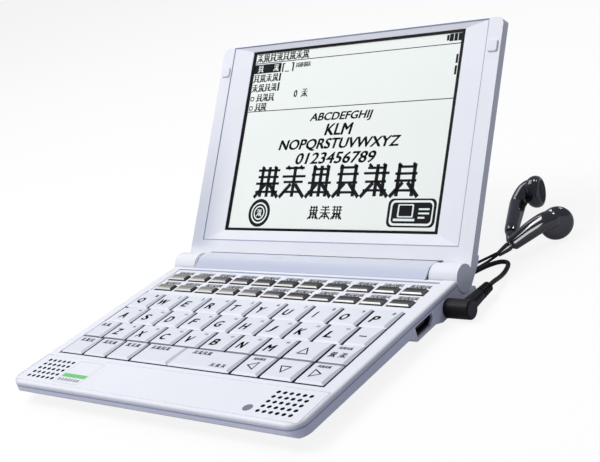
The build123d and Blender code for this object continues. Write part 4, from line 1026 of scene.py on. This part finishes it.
# ---------------------------------------------------------------- studio
def paper_floor():
    """Paper that looks white to the camera, with a pale shadow, and that sends back a blue-grey light"""
    half, below = 4.0, -0.0002
    corners = [(-half, -half, below), (half, -half, below), (half, half, below), (-half, half, below)]
    mesh = bpy.data.meshes.new("floor")
    mesh.from_pydata(corners, [], [(0, 1, 2, 3)])
    floor = bpy.data.objects.new("floor", mesh)
    bpy.context.scene.collection.objects.link(floor)
    paper = Finish("floor_paper", Roughness=0.9)
    seen = paper.node("ShaderNodeLightPath", {}, {}, "Is Camera Ray")
    glossy = paper.node("ShaderNodeLightPath", {}, {}, "Is Glossy Ray")
    cloudy = paper.mix(paper.noise(3.0), (0.30, 0.31, 0.37, 1), (0.32, 0.33, 0.39, 1))
    paper.colour(paper.mix(seen, cloudy, (0.93, 0.93, 0.94, 1)))
    glow = paper.node("ShaderNodeEmission", {}, {"Color": (1, 1, 1, 1), "Strength": 1.0})
    matt, share = Flow(paper, paper.surface.outputs[0]), seen * 0.87 + glossy * 0.15
    blend = paper.node("ShaderNodeMixShader", {}, {0: share, 1: matt, 2: glow})
    paper.tree.links.new(blend.socket, paper.tree.nodes["Material Output"].inputs["Surface"])
    mesh.materials.append(paper.material)


def studio_walls():
    """A world that lights in pale blue and looks white to the camera"""
    world = bpy.data.worlds.new("studio")
    bpy.context.scene.world = world
    world.use_nodes = True
    sky = world.node_tree
    pale, white = sky.nodes["Background"], sky.nodes.new("ShaderNodeBackground")
    for wall, tone, strength in ((pale, (0.74, 0.78, 1.0, 1), 0.26), (white, (1, 1, 1, 1), 1.0)):
        wall.inputs["Color"].default_value = tone
        wall.inputs["Strength"].default_value = strength
    seen, chooser = sky.nodes.new("ShaderNodeLightPath"), sky.nodes.new("ShaderNodeMixShader")
    sky.links.new(seen.outputs["Is Camera Ray"], chooser.inputs[0])
    sky.links.new(pale.outputs[0], chooser.inputs[1])
    sky.links.new(white.outputs[0], chooser.inputs[2])
    sky.links.new(chooser.outputs[0], sky.nodes["World Output"].inputs["Surface"])


def softbox(name, place, target, size, power, colour=(1, 1, 1), only=()):
    """A square area light that faces a point, for everything or only for some pieces"""
    lamp = bpy.data.lights.new(name, "AREA")
    lamp.size, lamp.energy, lamp.color = size, power, colour
    holder = bpy.data.objects.new(name, lamp)
    bpy.context.scene.collection.objects.link(holder)
    away = np.asarray(place, float) - np.asarray(target, float)
    away /= np.linalg.norm(away)
    across = np.cross((0, 0.05, 1), away)
    across /= np.linalg.norm(across)
    over = np.cross(away, across)
    turn = np.eye(4)
    turn[:3, 0], turn[:3, 1], turn[:3, 2], turn[:3, 3] = across, over, away, place
    holder.matrix_world = Matrix(turn.tolist())
    if only:
        lit = bpy.data.collections.new(name + "_pieces")
        for lit_piece in only:
            lit.objects.link(lit_piece)
        holder.light_linking.receiver_collection = lit


paper_floor()
studio_walls()
softbox("overhead", (-0.27, -0.27, 0.86), (0, 0.02, 0.03), 0.5, 6.5, (1.0, 0.995, 0.98))
softbox("front_fill", (-0.35, -1.3, 0.45), (0, 0, 0.04), 0.6, 2.1, (0.96, 0.97, 1.0))
softbox("behind_left", (-0.54, 0.24, 0.80), (0.06, 0.05, 0.0), 0.5, 1.8)
softbox("rear_strip", (0.28, 0.42, 0.42), (0.07, 0.07, 0.01), 0.12, 0.5)
bud_place = (0.08, 0.06, 0.01)
softbox("bud_card_above", (-0.128, -0.097, 0.437), bud_place, 0.6, 9.0, only=[front_piece])
softbox("bud_card_front", (0.329, -0.37, 0.074), bud_place, 0.32, 1.6, only=[front_piece])

sensor, picture_width, focal_pixels = 36, 600, 1180.751
camera_data = bpy.data.cameras.new("camera")
camera_data.sensor_width = sensor
camera_data.lens = focal_pixels * sensor / picture_width
camera_data.clip_start = 0.01
camera = bpy.data.objects.new("camera", camera_data)
bpy.context.scene.collection.objects.link(camera)
view = np.eye(4)
view[:3, 0] = (0.7568, 0.5934, -0.2740)
view[:3, 1] = (-0.0157, 0.4356, 0.8999)
view[:3, 2] = (0.6534, -0.6768, 0.3391)
view[:3, 3] = (0.30953, -0.30281, 0.18657)
camera.matrix_world = Matrix(view.tolist())
bpy.context.scene.camera = camera
bpy.context.scene.view_settings.view_transform = "Standard"
